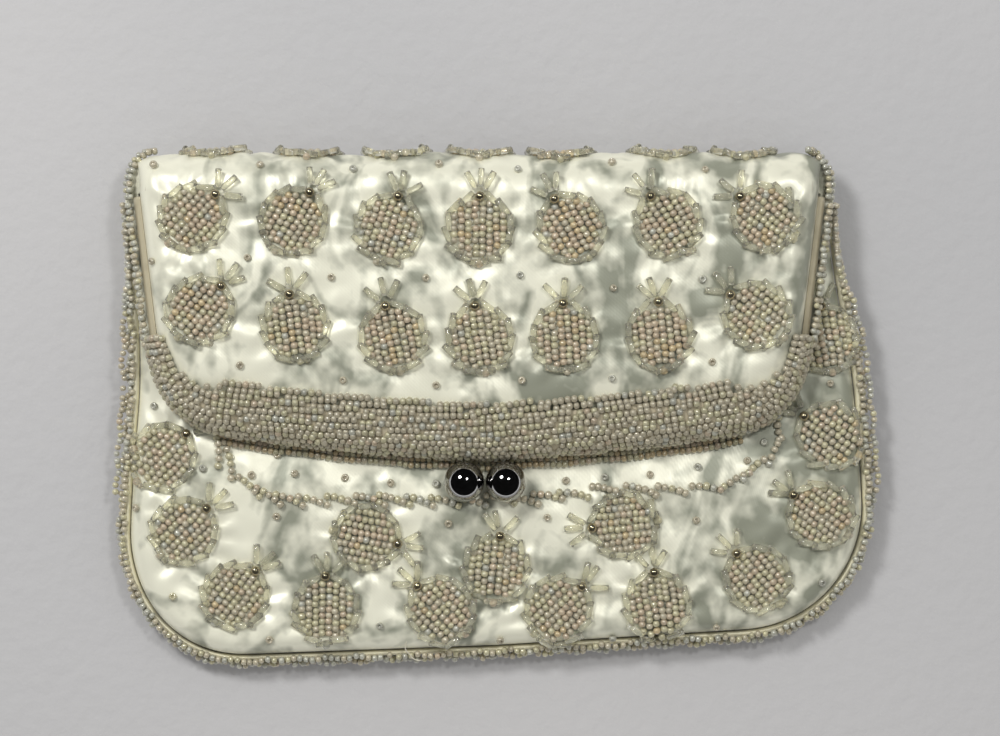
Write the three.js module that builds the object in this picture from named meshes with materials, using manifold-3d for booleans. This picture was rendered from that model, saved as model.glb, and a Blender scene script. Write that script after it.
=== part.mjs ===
// A beaded satin evening handbag with a kiss-lock frame, lying on its back.
// X runs across the bag, +Y points from the bottom seam towards the fold, Z is up from the table.
// The beaded satin runs from the back over a round fold to the flap, whose rim sits in the upper
// arm of the frame. The lower arm, right under it, holds the mouth of the front panel.
import * as THREE from 'three';
import { mergeVertices } from 'three/addons/utils/BufferGeometryUtils.js';
import Module from 'manifold-3d';

const wasm = await Module();
wasm.setup();

// Hinge line of the frame, and the fold that is rounded about it, in millimetres
const hingeY = 63;
const hingeZ = 14;
const foldRadius = 11.5;
const foldEndReach = 9;

// Cloth
const satin = 0.9;
const liningCloth = 0.5;
const clearance = 0.3;

// Seam line of the pouch, half of it before the soft pouch lies askew
const seamOutsideRim = 3.6;
const pouchSpread = 8.9;
const pouchCornerY = -34;
const pouchBottomY = -72;
const pouchCornerWidth = 35.5;
const pouchDrift = 5;
const pouchTurn = 0.05;

// Rim of the flap, which both arms of the frame follow
const rimHalfTop = 100.6;
const rimTaper = 5.1;
const rimCornerY = 20;
const rimTurnWidth = 22.6;
const rimTurnY = -4.8;
const rimPointY = -12.6;

// Heights and rounded edges of the cloth
const seamLowZ = 6.2;
const seamTopZ = 11.2;
const frontRise = 1.9;
const flapDrop = 4;
const sideRoll = 8;
const frontEdgeRoll = 9;
const frontBottomRoll = 4.5;
const backEdgeRoll = 12;
const rollPower = 2.5;

// Frame arms: a channel that opens upwards above the hinge plane and one that opens outwards below
const armInner = 2.3;
const armWall = 0.7;
const upperArmOuter = 1.5;
const upperArmHeight = 3.1;
const upperArmLip = 2.3;
const lowerArmOuter = 1.6;
const lowerArmHeight = 4.1;
const armEndGap = 2.6;
const earRadius = 2.5;
const earThickness = 1.2;
const earInset = 1.1;
const rivetRadius = 1;
const rivetHeadRadius = 1.9;
const rivetHeadThickness = 0.6;

// Clasp
const claspX = 1.7;
const claspBall = 12;
const claspReach = 9.9;
const claspHeight = 5.7;
const claspStrapWidth = 2.6;
const claspStrapThickness = 1.1;

// Bead work
const bandDepth = 13.2;
const bandLip = 3.8;
const bandCover = 1.9;
const bandRidge = 0.3;
const bandGroove = 0.5;
const bandRows = 8;
const bandTipY = 21;
const lowerBandShare = 0.7;
const lowerBandWidth = 6;
const lowerBandHeight = 1.5;
const bindingHeight = 5;
const bindingThickness = 0.8;
const edgeBeadsWide = 4.6;
const edgeBeadsNarrow = 3;
const edgeBeadsTop = 2.2;
const edgeBeadsHeight = 4.4;
const beadGroup = 9.5;
const trimWidth = 2.3;
const trimHeight = 2.7;
const arcHeight = 1.7;
const arcString = 3.2;
const arcStrings = 20;

// Berry motif
const berryHalfLength = 8.4;
const berryHalfWidth = 7.4;
const berryColumns = 8;
const berryHeight = 2;
const bugleWidth = 1.9;
const bugleHeight = 1.4;
const bugleLength = 5.3;
const pearlSize = 3;
const tailBead = 2.2;
const leafSpread = 38;
const rowPitch = 32.5;
const backRows = 4;
const firstRowY = 52;

// Berries: place across as a share of the half width, place along, and turn of the stem in degrees
const flapBerries = [
  [-0.835, 55, -45], [-0.542, 54, -31], [-0.265, 52, -19], [0, 51.8, 0], [0.268, 52, 30],
  [0.551, 53.3, 34], [0.835, 55, 52], [-0.815, 28, -40], [-0.537, 23, 8], [-0.25, 20, 12],
  [0.003, 19.6, 9], [0.25, 20, 4], [0.527, 20.4, 6], [0.81, 26.6, 51],
];
const frontBerries = [
  [-0.864, -15.6, -45], [-0.805, -37.6, -46], [-0.665, -56.8, -38], [-0.417, -61, 0],
  [-0.309, -39.2, -102], [-0.104, -61, 45], [0.046, -48.5, -5], [0.214, -60.8, -46],
  [0.394, -35.6, 96], [0.484, -59.6, 8], [0.755, -51.7, 41], [0.928, -32.7, 54],
  [0.955, -9.2, 53], [0.944, 19.6, 10],
];
const foldBerries = [-0.785, -0.507, -0.249, 0, 0.239, 0.547, 0.78];

// Line of slanted bead strings across the front, under the mouth, across as shares again
const arcPath = [
  [-0.765, -16.5], [-0.716, -23.5], [-0.596, -26.5], [-0.298, -26.9], [0, -28], [0.278, -24.6],
  [0.547, -23.4], [0.736, -20], [0.835, -11.5], [0.88, -7.5],
];

const satinLook = { color: 0xdcdac8, roughness: 0.45, metalness: 0 };
const liningLook = { color: 0xe4dfcf, roughness: 0.55, metalness: 0 };
const steelLook = { color: 0x8a8784, roughness: 0.3, metalness: 1 };
const chromeLook = { color: 0x6f6d70, roughness: 0.08, metalness: 1 };
const beadLook = { color: 0xb9b5b4, roughness: 0.25, metalness: 0.1 };
const berryLook = { color: 0xb3a296, roughness: 0.25, metalness: 0.1 };
const bindingLook = { color: 0xd9d3b4, roughness: 0.5, metalness: 0 };

const rimHalfLow = rimHalfTop - rimTaper;
const rimTurnX = rimHalfTop - rimTurnWidth;
const pouchHalfTop = rimHalfTop + seamOutsideRim;
const pouchHalfLow = rimHalfTop + pouchSpread;
const pouchBottomHalf = pouchHalfLow - pouchCornerWidth;

const bag = new THREE.Group();
const { clamp, lerp, smoothstep, degToRad } = THREE.MathUtils;

function addPiece(name, geometry, look) {
  const mesh = new THREE.Mesh(geometry, new THREE.MeshStandardMaterial(look));
  mesh.name = name;
  bag.add(mesh);
  return mesh;
}

// A line in plan, from the left end of the hinge line round the bottom to its right end
class PlanLine {
  constructor(half, place = (point) => point) {
    const right = half.getSpacedPoints(120);
    const left = right.map((p) => new THREE.Vector2(-p.x, p.y));
    this.points = [...left, ...right.slice(0, -1).reverse()].map(place);
    this.last = this.points.length - 1;
    this.length = this.points.slice(1).reduce(
      (sum, p, k) => sum + p.distanceTo(this.points[k]), 0);
  }

  at(share) {
    const place = clamp(share, 0, 1) * this.last;
    const k = Math.min(Math.floor(place), this.last - 1);
    return this.points[k].clone().lerp(this.points[k + 1], place - k);
  }

  outward(share) {
    const along = this.at(share + 0.004).sub(this.at(share - 0.004)).normalize();
    return new THREE.Vector2(along.y, -along.x);
  }

  beside(share, out) {
    return this.at(share).addScaledVector(this.outward(share), out);
  }

  nearest(x, y) {
    const best = { distance: Infinity, share: 0 };
    for (let k = 0; k < this.last; k += 1) {
      const a = this.points[k];
      const d = this.points[k + 1].clone().sub(a);
      const share = clamp(((x - a.x) * d.x + (y - a.y) * d.y) / d.lengthSq(), 0, 1);
      const distance = Math.hypot(x - a.x - share * d.x, y - a.y - share * d.y);
      if (distance < best.distance) {
        best.distance = distance;
        best.share = (k + share) / this.last;
      }
    }
    return best;
  }

  // Share at which the left side comes down to a height
  shareAt(y) {
    const k = this.points.findIndex((p) => p.y <= y);
    if (k <= 0) return 0;
    const above = this.points[k - 1];
    return (k - 1 + (above.y - y) / (above.y - this.points[k].y)) / this.last;
  }
}

// The soft pouch lies a little askew under its frame: it drifts to the right and turns
function lieAskew(point) {
  const drift = pouchDrift * smoothstep(hingeY - point.y, 0, hingeY);
  const deep = clamp((hingeY - point.y) / (hingeY - pouchBottomY), 0, 1);
  return new THREE.Vector2(point.x + drift, point.y + pouchTurn * deep * point.x);
}

const pouchHalf = new THREE.Path();
pouchHalf.moveTo(pouchHalfTop, hingeY);
pouchHalf.bezierCurveTo(
  pouchHalfTop - 2, hingeY - 28, pouchHalfLow - 1, pouchCornerY + 29, pouchHalfLow, pouchCornerY);
pouchHalf.bezierCurveTo(
  pouchHalfLow, pouchCornerY - 20, pouchBottomHalf + 21, pouchBottomY + 1,
  pouchBottomHalf, pouchBottomY + 1);
pouchHalf.lineTo(0, pouchBottomY);
const pouchLine = new PlanLine(pouchHalf, lieAskew);

const rimHalf = new THREE.Path();
rimHalf.moveTo(rimHalfTop, hingeY);
rimHalf.lineTo(rimHalfLow, rimCornerY);
rimHalf.bezierCurveTo(
  rimHalfLow - 1.7, rimCornerY - 13, rimTurnX + 11, rimTurnY + 3.3, rimTurnX, rimTurnY);
rimHalf.quadraticCurveTo(rimTurnX - 33, rimPointY + 2, 0, rimPointY);
const rimLine = new PlanLine(rimHalf);

// Heights that pieces share
const backZ = hingeZ - foldRadius;
const upperFootZ = hingeZ + clearance;
const flapRimZ = upperFootZ + armWall + clearance;
const lowerTopZ = hingeZ - clearance;
const lowerFootZ = lowerTopZ - lowerArmHeight;
const mouthZ = lowerFootZ + armWall + clearance + satin;
const beadFootZ = upperFootZ + clearance;
const beadInner = upperArmOuter + clearance;
const seamGap = clearance / 2;

// Rounded edge: 0 at the edge, 1 from the given width inwards
function roll(distance, width) {
  const inward = clamp(1 - distance / width, 0, 1);
  return (1 - inward ** rollPower) ** (1 / rollPower);
}

// The seam lies in one plane that rises towards the fold
function seamZ(y) {
  return lerp(seamLowZ, seamTopZ, (y - pouchBottomY) / (hingeY - pouchBottomY));
}

// Outer faces of the cloth, as heights over the plan
function flapZ(x, y) {
  const along = Math.max((hingeY - y) / (hingeY - rimPointY), 0);
  const top = hingeZ + foldRadius - flapDrop * along ** 2;
  const width = lerp(bandDepth + bandLip, sideRoll, smoothstep(y, 8, 24));
  return flapRimZ + (top - flapRimZ) * roll(rimLine.nearest(x, y).distance, width);
}

function backPanelZ(x, y) {
  const edge = seamZ(y) - seamGap;
  return edge + (backZ - edge) * roll(pouchLine.nearest(x, y).distance, backEdgeRoll);
}

function frontPanelZ(x, y) {
  const edge = seamZ(y) + seamGap;
  const mouth = rimLine.nearest(x, y).distance;
  const seam = pouchLine.nearest(x, y).distance;
  const rise = frontRise * smoothstep(mouth, 3, 22);
  const widest = lerp(frontBottomRoll, frontEdgeRoll, smoothstep(y, -70, -48));
  const width = Math.max(Math.min(widest, seam + mouth - 1), 0.5);
  return edge + (mouthZ + rise - edge) * roll(seam, width);
}

function squareTo(height, line, x, y) {
  const step = 0.05;
  const near = line.nearest(x, y);
  const inside = line.outward(near.share).multiplyScalar(-Math.max(3 * step - near.distance, 0));
  const px = x + inside.x;
  const py = y + inside.y;
  const slopeX = (height(px + step, py) - height(px - step, py)) / (2 * step);
  const slopeY = (height(px, py + step) - height(px, py - step)) / (2 * step);
  return new THREE.Vector3(-slopeX, -slopeY, 1).normalize();
}

// A closed geometry with shared corners and its faces turned outwards
function facingOut(positions, indices) {
  const loose = new THREE.BufferGeometry();
  loose.setAttribute('position', new THREE.Float32BufferAttribute(positions, 3));
  if (indices) loose.setIndex(indices);
  const closed = mergeVertices(loose, 1e-4);
  const place = closed.getAttribute('position');
  const index = [];
  for (let k = 0; k < closed.index.count; k += 3) {
    const [a, b, c] = [0, 1, 2].map((n) => closed.index.getX(k + n));
    if (a !== b && b !== c && c !== a) index.push(a, b, c);
  }
  const corners = [new THREE.Vector3(), new THREE.Vector3(), new THREE.Vector3()];
  let volume = 0;
  for (let k = 0; k < index.length; k += 3) {
    corners.forEach((corner, n) => corner.fromBufferAttribute(place, index[k + n]));
    volume += corners[0].dot(corners[1].clone().cross(corners[2]));
  }
  if (volume < 0) {
    for (let k = 0; k < index.length; k += 3) {
      [index[k], index[k + 1]] = [index[k + 1], index[k]];
    }
  }
  closed.setIndex(index);
  return closed;
}

function closedCopy(geometry) {
  const index = geometry.index ? Array.from(geometry.index.array) : null;
  return facingOut(Array.from(geometry.getAttribute('position').array), index);
}

function toSolid(geometry) {
  const closed = closedCopy(geometry);
  return new wasm.Manifold(new wasm.Mesh({
    numProp: 3,
    vertProperties: new Float32Array(closed.getAttribute('position').array),
    triVerts: new Uint32Array(closed.index.array),
  }));
}

function toGeometry(solid) {
  const mesh = solid.getMesh();
  return facingOut(Array.from(mesh.vertProperties), Array.from(mesh.triVerts));
}

function joined(geometries) {
  return geometries.map(toSolid).reduce((whole, solid) => whole.add(solid));
}

// Closed sheet between two grids of points with like rows and columns
function sheetBetween(face, inner) {
  const rows = face.length;
  const columns = face[0].length;
  const positions = [face, inner].flat(2).flatMap((p) => [p.x, p.y, p.z]);
  const indices = [];
  const top = (r, c) => r * columns + c;
  const low = (r, c) => (rows + r) * columns + c;
  const quad = (a, b, c, d) => indices.push(a, b, c, a, c, d);
  for (let r = 0; r < rows - 1; r += 1) {
    for (let c = 0; c < columns - 1; c += 1) {
      quad(top(r, c), top(r + 1, c), top(r + 1, c + 1), top(r, c + 1));
      quad(low(r, c), low(r, c + 1), low(r + 1, c + 1), low(r + 1, c));
    }
  }
  const end = rows - 1;
  for (let c = 0; c < columns - 1; c += 1) {
    quad(top(0, c), top(0, c + 1), low(0, c + 1), low(0, c));
    quad(top(end, c + 1), top(end, c), low(end, c), low(end, c + 1));
  }
  const side = columns - 1;
  for (let r = 0; r < rows - 1; r += 1) {
    quad(top(r + 1, 0), top(r, 0), low(r, 0), low(r + 1, 0));
    quad(top(r, side), top(r + 1, side), low(r + 1, side), low(r, side));
  }
  return facingOut(positions, indices);
}

// Closed bar through a row of sections, each a ring of points in the same order
function loft(sections) {
  const ring = sections[0].length;
  const positions = sections.flat().flatMap((p) => [p.x, p.y, p.z]);
  const indices = [];
  for (let s = 0; s < sections.length - 1; s += 1) {
    for (let k = 0; k < ring; k += 1) {
      const a = s * ring + k;
      const b = s * ring + ((k + 1) % ring);
      indices.push(a, b, b + ring, a, b + ring, a + ring);
    }
  }
  const flatten = (points) => {
    const level = points.map((p) => new THREE.Vector3(p.x, p.y, 0).sub(points[0]).setZ(0));
    const across = level.reduce((far, p) => (p.length() > far.length() ? p : far)).normalize();
    return points.map((p) => new THREE.Vector2(p.dot(across), p.z));
  };
  const cap = (points, first, inRingOrder) => {
    const flat = flatten(points);
    const ringTurn = THREE.ShapeUtils.area(flat) > 0;
    for (const [a, b, c] of THREE.ShapeUtils.triangulateShape(flat, [])) {
      const turn = THREE.ShapeUtils.area([flat[a], flat[b], flat[c]]) > 0;
      if ((turn === ringTurn) === inRingOrder) indices.push(first + a, first + b, first + c);
      else indices.push(first + c, first + b, first + a);
    }
  };
  cap(sections[0], 0, false);
  cap(sections[sections.length - 1], (sections.length - 1) * ring, true);
  return facingOut(positions, indices);
}

function boxBetween(low, high) {
  const size = high.clone().sub(low);
  const middle = low.clone().add(high).multiplyScalar(0.5);
  return new THREE.BoxGeometry(size.x, size.y, size.z).translate(middle.x, middle.y, middle.z);
}

// Bar that follows a plan line, its section given as (out, z) pairs for each share of the line
function barAlong(line, shares, section) {
  return loft(shares.map((share) => {
    const at = line.at(share);
    const out = line.outward(share);
    return section(share, at, out).map(
      ([e, z]) => new THREE.Vector3(at.x + out.x * e, at.y + out.y * e, z));
  }));
}

// Shares along a line of given lengths from its left end, repeated from its right end
function mirroredShares(line, lengths) {
  const left = lengths.map((length) => length / line.length);
  return [...left, 0.5, ...left.map((share) => 1 - share).reverse()];
}

function evenSteps(from, to, count) {
  return Array.from({ length: count + 1 }, (_, k) => lerp(from, to, k / count));
}

const rimStart = rimLine.shareAt(hingeY - armEndGap) * rimLine.length;
const pouchStart = pouchLine.shareAt(hingeY - armEndGap) * pouchLine.length;
const rimHalfLength = rimLine.length / 2;
const pouchHalfLength = pouchLine.length / 2;
const rimSides = rimLine.shareAt(rimCornerY + 1) * rimLine.length;
const rimShares = mirroredShares(rimLine, [
  rimStart, lerp(rimStart, rimSides, 0.5),
  ...evenSteps(rimSides, rimSides + 34, 9),
  ...evenSteps(rimSides + 34, rimHalfLength, 6).slice(1, -1),
]);
const pouchCorner = pouchLine.shareAt(pouchCornerY + 4) * pouchLine.length;
const pouchShares = mirroredShares(pouchLine, [
  ...evenSteps(pouchStart, pouchCorner, 4).slice(0, -1),
  ...evenSteps(pouchCorner, pouchCorner + 60, 9),
  ...evenSteps(pouchCorner + 60, pouchHalfLength, 4).slice(1, -1),
]);

// Distances from a rounded edge at which the cloth gets a row of points
const rollSteps = [0, 0.4, 1.3, 3.2, 6, 9, 13, 18];

// Patch inside a plan line: columns across, rows from the hinge line down to the bottom
function patchInside(line, startY, cornerShare, steps, rowCount, columnCount) {
  const top = line.shareAt(startY);
  const side = (cornerShare - top) * line.length;
  const bottom = (1 - 2 * cornerShare) * line.length;
  const down = [
    ...evenSteps(0, side - steps[steps.length - 1], rowCount),
    ...steps.slice(0, -1).reverse().map((step) => side - step),
  ].map((length) => length / side);
  const across = [
    ...steps.slice(0, -1),
    ...evenSteps(steps[steps.length - 1], bottom - steps[steps.length - 1], columnCount),
    ...steps.slice(0, -1).reverse().map((step) => bottom - step),
  ].map((length) => length / bottom);
  const left = (v) => line.at(lerp(top, cornerShare, v));
  const right = (v) => line.at(1 - lerp(top, cornerShare, v));
  const low = (u) => line.at(lerp(cornerShare, 1 - cornerShare, u));
  const between = (a, b, share) => a.clone().lerp(b, share);
  return down.map((v) => across.map((u) => {
    const sides = between(left(v), right(v), u);
    const ends = between(between(left(0), right(0), u), low(u), v);
    const corners = between(between(left(0), right(0), u), between(left(1), right(1), u), v);
    return sides.add(ends).sub(corners);
  }));
}

// Cloth laid over plan points: its thickness is set off square to the outer face, and it keeps
// to its own side of its edge
function clothOver(plan, height, line, inward, near, far) {
  const laid = (depth) => plan.map((row) => row.map(({ x, y }) => {
    const face = new THREE.Vector3(x, y, height(x, y));
    face.addScaledVector(squareTo(height, line, x, y), inward * depth);
    const edge = line === rimLine ? flapRimZ : seamZ(face.y) - inward * seamGap;
    face.z = inward < 0 ? Math.max(face.z, edge) : Math.min(face.z, edge);
    return face;
  }));
  return sheetBetween(laid(near), laid(far));
}

// Every second point of a row, with its last
function thinned(row) {
  return row.filter((_, k) => k % 2 === 0 || k === row.length - 1);
}

const liningNear = satin + clearance;
const liningFar = liningNear + liningCloth;
const rimCornerShare = (rimSides + 16) / rimLine.length;
const pouchCornerShare = (pouchCorner + 30) / pouchLine.length;

// Flap: satin and its lining
const flapPlan = patchInside(rimLine, hingeY - seamGap, rimCornerShare, rollSteps, 4, 8);
addPiece('flap_panel', clothOver(flapPlan, flapZ, rimLine, -1, 0, satin), satinLook);
const flapLiningPlan = flapPlan.slice(0, -3).map((row) => thinned(row.slice(3, -3)));
addPiece('flap_lining',
  clothOver(flapLiningPlan, flapZ, rimLine, -1, liningNear, liningFar), liningLook);

// Back: satin with its berries, and its lining
const backPlan = patchInside(pouchLine, hingeY - seamGap, pouchCornerShare, rollSteps, 4, 7);
const backCloth = clothOver(backPlan, backPanelZ, pouchLine, 1, 0, satin);
const backLiningPlan = backPlan.slice(0, -3).map((row) => thinned(row.slice(3, -3)));
addPiece('back_lining',
  clothOver(backLiningPlan, backPanelZ, pouchLine, 1, liningNear, liningFar), liningLook);

// Front: satin from the lower arm's channel to the seam, and its lining
const frontSteps = [0, 0.35, 1.3, 3.2, 6.5];
const frontShares = [0, 0.04, 0.14, 0.3, 0.5];
function frontPlan(mouthInset, seamInset, columns) {
  const rows = frontSteps.length + 2;
  const grid = Array.from({ length: rows }, () => []);
  for (let k = columns; k < rimShares.length - columns; k += 1) {
    const mouth = rimLine.beside(rimShares[k], mouthInset);
    const seam = pouchLine.beside(pouchShares[k], -seamInset);
    const width = mouth.distanceTo(seam);
    const lengths = frontSteps.map((step, n) => Math.min(step, width * frontShares[n]));
    const inner = lengths[lengths.length - 1];
    lengths.push(lerp(inner, width, 0.45), width);
    lengths.reverse().forEach((length, r) => {
      grid[r].push(seam.clone().lerp(mouth, length / width));
    });
  }
  return grid;
}
const mouthInset = clearance + 0.1;
addPiece('front_panel',
  clothOver(frontPlan(mouthInset, 0, 0), frontPanelZ, pouchLine, -1, 0, satin), satinLook);
const liningColumns = 2;
const frontLiningPlan = frontPlan(lowerArmOuter + 2, 2 * liningNear, liningColumns);
addPiece('front_lining', clothOver(
  [0, 1, 2, 4, 6].map((row) => thinned(frontLiningPlan[row])), frontPanelZ, pouchLine, -1,
  liningFar, liningFar + liningCloth), liningLook);

// Fold: the satin rounds from the back to the flap about the hinge line
function foldPoint(share, angle, depth) {
  const back = pouchLine.at(pouchLine.shareAt(hingeY - seamGap));
  const flap = rimLine.at(rimLine.shareAt(hingeY - seamGap));
  const x = lerp(back.x, -back.x, share);
  const flapX = lerp(flap.x, -flap.x, share);
  const low = backPanelZ(x, hingeY - seamGap);
  const high = flapZ(flapX, hingeY - seamGap);
  const outer = Math.abs(2 * share - 1) ** 24;
  const reach = lerp(foldRadius, foldEndReach, outer) - depth;
  const rise = (high - low) / 2 - depth;
  const middle = (high + low) / 2;
  return new THREE.Vector3(
    lerp(x, flapX, (1 + Math.sin(angle)) / 2),
    hingeY + seamGap + reach * Math.cos(angle),
    middle + rise * Math.sin(angle));
}
const foldAcross = thinned(flapPlan[0]).map((p) => (p.x + rimHalfTop) / (2 * rimHalfTop));
foldAcross[0] = 0;
foldAcross[foldAcross.length - 1] = 1;
const foldAngles = evenSteps(-Math.PI / 2, Math.PI / 2, 8);
function foldSheet(across, near, far) {
  const laid = (depth) => foldAngles.map(
    (angle) => across.map((share) => foldPoint(share, angle, depth)));
  return sheetBetween(laid(near), laid(far));
}
addPiece('fold_lining', foldSheet(foldAcross.slice(2, -2), liningNear, liningFar), liningLook);

// Berry as a low domed pad with its ring and leaves, for the sides that lie hidden
function plainBerry(place, sunk, thickness) {
  const ring = berryHalfLength + bugleWidth;
  const profile = [
    [0, -sunk], [ring * 0.5, -sunk], [ring, -sunk], [ring, thickness * 0.7], [ring - bugleWidth, thickness],
    [0, thickness],
  ].map(([radius, height]) => new THREE.Vector2(radius, height));
  const pad = new THREE.LatheGeometry(profile, 8);
  pad.rotateX(Math.PI / 2);
  pad.scale(berryHalfWidth / berryHalfLength, 1, 1);
  return toSolid(placed(pad, place));
}

function placed(geometry, place) {
  const closed = closedCopy(geometry);
  const points = closed.getAttribute('position');
  for (let k = 0; k < points.count; k += 1) {
    const { x, y, z } = place(points.getX(k), points.getY(k), points.getZ(k));
    points.setXYZ(k, x, y, z);
  }
  return closed;
}

const foldArc = Math.PI * foldRadius;
const foldRowArc = rowPitch - (hingeY - firstRowY);
function onFold(x) {
  return (a, b, c) => {
    const angle = Math.PI / 2 - (foldRowArc + b) / foldRadius;
    const radius = foldRadius + c;
    return new THREE.Vector3(
      x + a, hingeY + seamGap + radius * Math.cos(angle), hingeZ + radius * Math.sin(angle));
  };
}
let foldSolid = toSolid(foldSheet(foldAcross, 0, satin));
for (const share of foldBerries) {
  const x = share * rimHalfTop;
  foldSolid = foldSolid.add(plainBerry(onFold(x), satin / 2, berryHeight));
}
addPiece('fold_panel', toGeometry(foldSolid), satinLook);

// The berries of the back are pressed flat where the bag lies on them
let backSolid = toSolid(backCloth);
const backColumns = foldBerries.length;
for (let row = 1; row <= backRows; row += 1) {
  const y = hingeY - (foldRowArc + row * rowPitch - foldArc);
  for (let column = 0; column < backColumns; column += 1) {
    const x = foldBerries[column] * rimHalfTop;
    const pad = new THREE.CylinderGeometry(
      berryHalfLength + bugleWidth, berryHalfLength + bugleWidth, backZ + satin / 2, 7);
    pad.rotateX(Math.PI / 2);
    pad.scale(berryHalfWidth / berryHalfLength, 1, 1);
    const drift = lieAskew(new THREE.Vector2(x, y));
    pad.translate(drift.x, drift.y, (backZ + satin / 2) / 2);
    backSolid = backSolid.add(toSolid(pad));
  }
}
addPiece('back_panel', toGeometry(backSolid), satinLook);

// Berry in full: beads in ridged columns, a ring of bugles, a pearl, three leaves and a tail bead
function ovalPrism(halfWidth, halfLength, height, sides) {
  const prism = new THREE.CylinderGeometry(1, 1, height, sides);
  return prism.rotateX(Math.PI / 2).scale(halfWidth, halfLength, 1).translate(0, 0, height / 2);
}

function berryGeometry() {
  const ring = ovalPrism(
    berryHalfWidth + bugleWidth, berryHalfLength + bugleWidth, bugleHeight, 10);
  const pieces = [toSolid(ring)];
  const step = (2 * berryHalfWidth) / berryColumns;
  for (let column = 0; column < berryColumns; column += 1) {
    const x = -berryHalfWidth + (column + 0.5) * step;
    const length = 2 * berryHalfLength * Math.sqrt(1 - (x / berryHalfWidth) ** 2);
    const half = step / 2 - 0.1;
    const roof = new THREE.Shape();
    roof.moveTo(-half, bugleHeight - 0.1);
    roof.lineTo(half, bugleHeight - 0.1);
    roof.lineTo(0, berryHeight);
    const string = new THREE.ExtrudeGeometry(roof, { depth: length, bevelEnabled: false });
    pieces.push(toSolid(string.rotateX(Math.PI / 2).translate(x, length / 2, 0)));
  }
  const stemY = berryHalfLength + bugleWidth;
  const tip = stemY + bugleLength;
  const half = bugleWidth / 2;
  const spread = Math.sin(degToRad(leafSpread)) * bugleLength;
  const sideTip = stemY + Math.cos(degToRad(leafSpread)) * bugleLength;
  const leaves = new THREE.Shape();
  leaves.moveTo(bugleWidth, stemY - half);
  leaves.lineTo(spread + half, sideTip);
  leaves.lineTo(half, stemY + bugleWidth);
  leaves.lineTo(0, tip);
  leaves.lineTo(-half, stemY + bugleWidth);
  leaves.lineTo(-spread - half, sideTip);
  leaves.lineTo(-bugleWidth, stemY - half);
  const leafHeight = bugleHeight * 0.93;
  pieces.push(toSolid(new THREE.ExtrudeGeometry(leaves, { depth: leafHeight, bevelEnabled: false })));
  const bead = (size, y, sides) => {
    const dome = new THREE.CylinderGeometry(size * 0.22, size * 0.5, size * 0.55, sides);
    return toSolid(dome.rotateX(Math.PI / 2).translate(0, y, bugleHeight + size * 0.17));
  };
  pieces.push(bead(pearlSize, stemY - pearlSize * 0.1, 5));
  const tail = new THREE.CylinderGeometry(tailBead * 0.3, tailBead / 2, tailBead * 0.8, 4);
  tail.rotateX(Math.PI / 2).translate(0, -stemY - tailBead * 0.2, tailBead * 0.4);
  pieces.push(toSolid(tail));
  return toGeometry(pieces.reduce((whole, piece) => whole.add(piece)));
}
const berry = berryGeometry();

// Places a berry on the cloth, its foot just clear of the highest cloth under it
function berryOn(height, line, [x, y, turn]) {
  const up = squareTo(height, line, x, y);
  const holder = new THREE.Object3D();
  const stand = new THREE.Quaternion().setFromUnitVectors(new THREE.Vector3(0, 0, 1), up);
  const spin = new THREE.Quaternion().setFromAxisAngle(new THREE.Vector3(0, 0, 1), degToRad(turn));
  holder.quaternion.copy(stand.multiply(spin));
  holder.position.set(x, y, height(x, y)).addScaledVector(up, 1.5 * clearance);
  return holder;
}

flapBerries.forEach(([share, y, turn], k) => {
  const mesh = addPiece(`flap_berry_${k + 1}`, berry, berryLook);
  const holder = berryOn(flapZ, rimLine, [share * rimHalfTop, y, turn]);
  mesh.position.copy(holder.position);
  mesh.quaternion.copy(holder.quaternion);
});

// Where a berry of the front runs in under the flap's rim, the seam of the frame cuts it off
const frameReach = bandLip + clearance + 0.1;
const frameOutline = new THREE.Shape(
  evenSteps(0, 1, 80).map((share) => rimLine.beside(share, frameReach)));
const frameZone = toSolid(
  new THREE.ExtrudeGeometry(frameOutline, { depth: 2 * hingeZ, bevelEnabled: false }));
frontBerries.forEach(([share, y, turn], k) => {
  const holder = berryOn(frontPanelZ, pouchLine, [share * pouchHalfLow, y, turn]);
  holder.updateMatrix();
  const whole = toSolid(berry.clone().applyMatrix4(holder.matrix));
  const cut = whole.subtract(frameZone);
  const largest = cut.decompose().sort((a, b) => b.volume() - a.volume())[0];
  addPiece(`front_berry_${k + 1}`, toGeometry(largest), berryLook);
});

// Hinge: an ear on each arm, side by side, and a rivet through both
const earOuterX = rimHalfTop - armInner - earInset;
const lowerEar = [earOuterX - earThickness, earOuterX];
const upperEar = [lowerEar[0] - clearance - earThickness, lowerEar[0] - clearance];
const earHole = rivetRadius + 1.4 * clearance;
function ear([innerX, outerX], side, footZ, headZ) {
  const disc = new THREE.CylinderGeometry(earRadius, earRadius, outerX - innerX, 12);
  disc.rotateZ(Math.PI / 2).translate((innerX + outerX) / 2, hingeY, hingeZ);
  const endY = hingeY - armEndGap;
  const neck = boxBetween(
    new THREE.Vector3(innerX, endY - 1, footZ), new THREE.Vector3(outerX, hingeY - 1, headZ));
  const bridge = boxBetween(
    new THREE.Vector3(innerX, endY - 1.6, footZ),
    new THREE.Vector3(rimHalfTop - armInner + 0.4, endY - 0.2, headZ));
  const hole = new THREE.CylinderGeometry(earHole, earHole, 3 * (outerX - innerX), 8);
  hole.rotateZ(Math.PI / 2).translate((innerX + outerX) / 2, hingeY, hingeZ);
  const whole = joined([disc, neck, bridge]).subtract(toSolid(hole));
  return side < 0 ? whole.mirror([1, 0, 0]) : whole;
}

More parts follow.
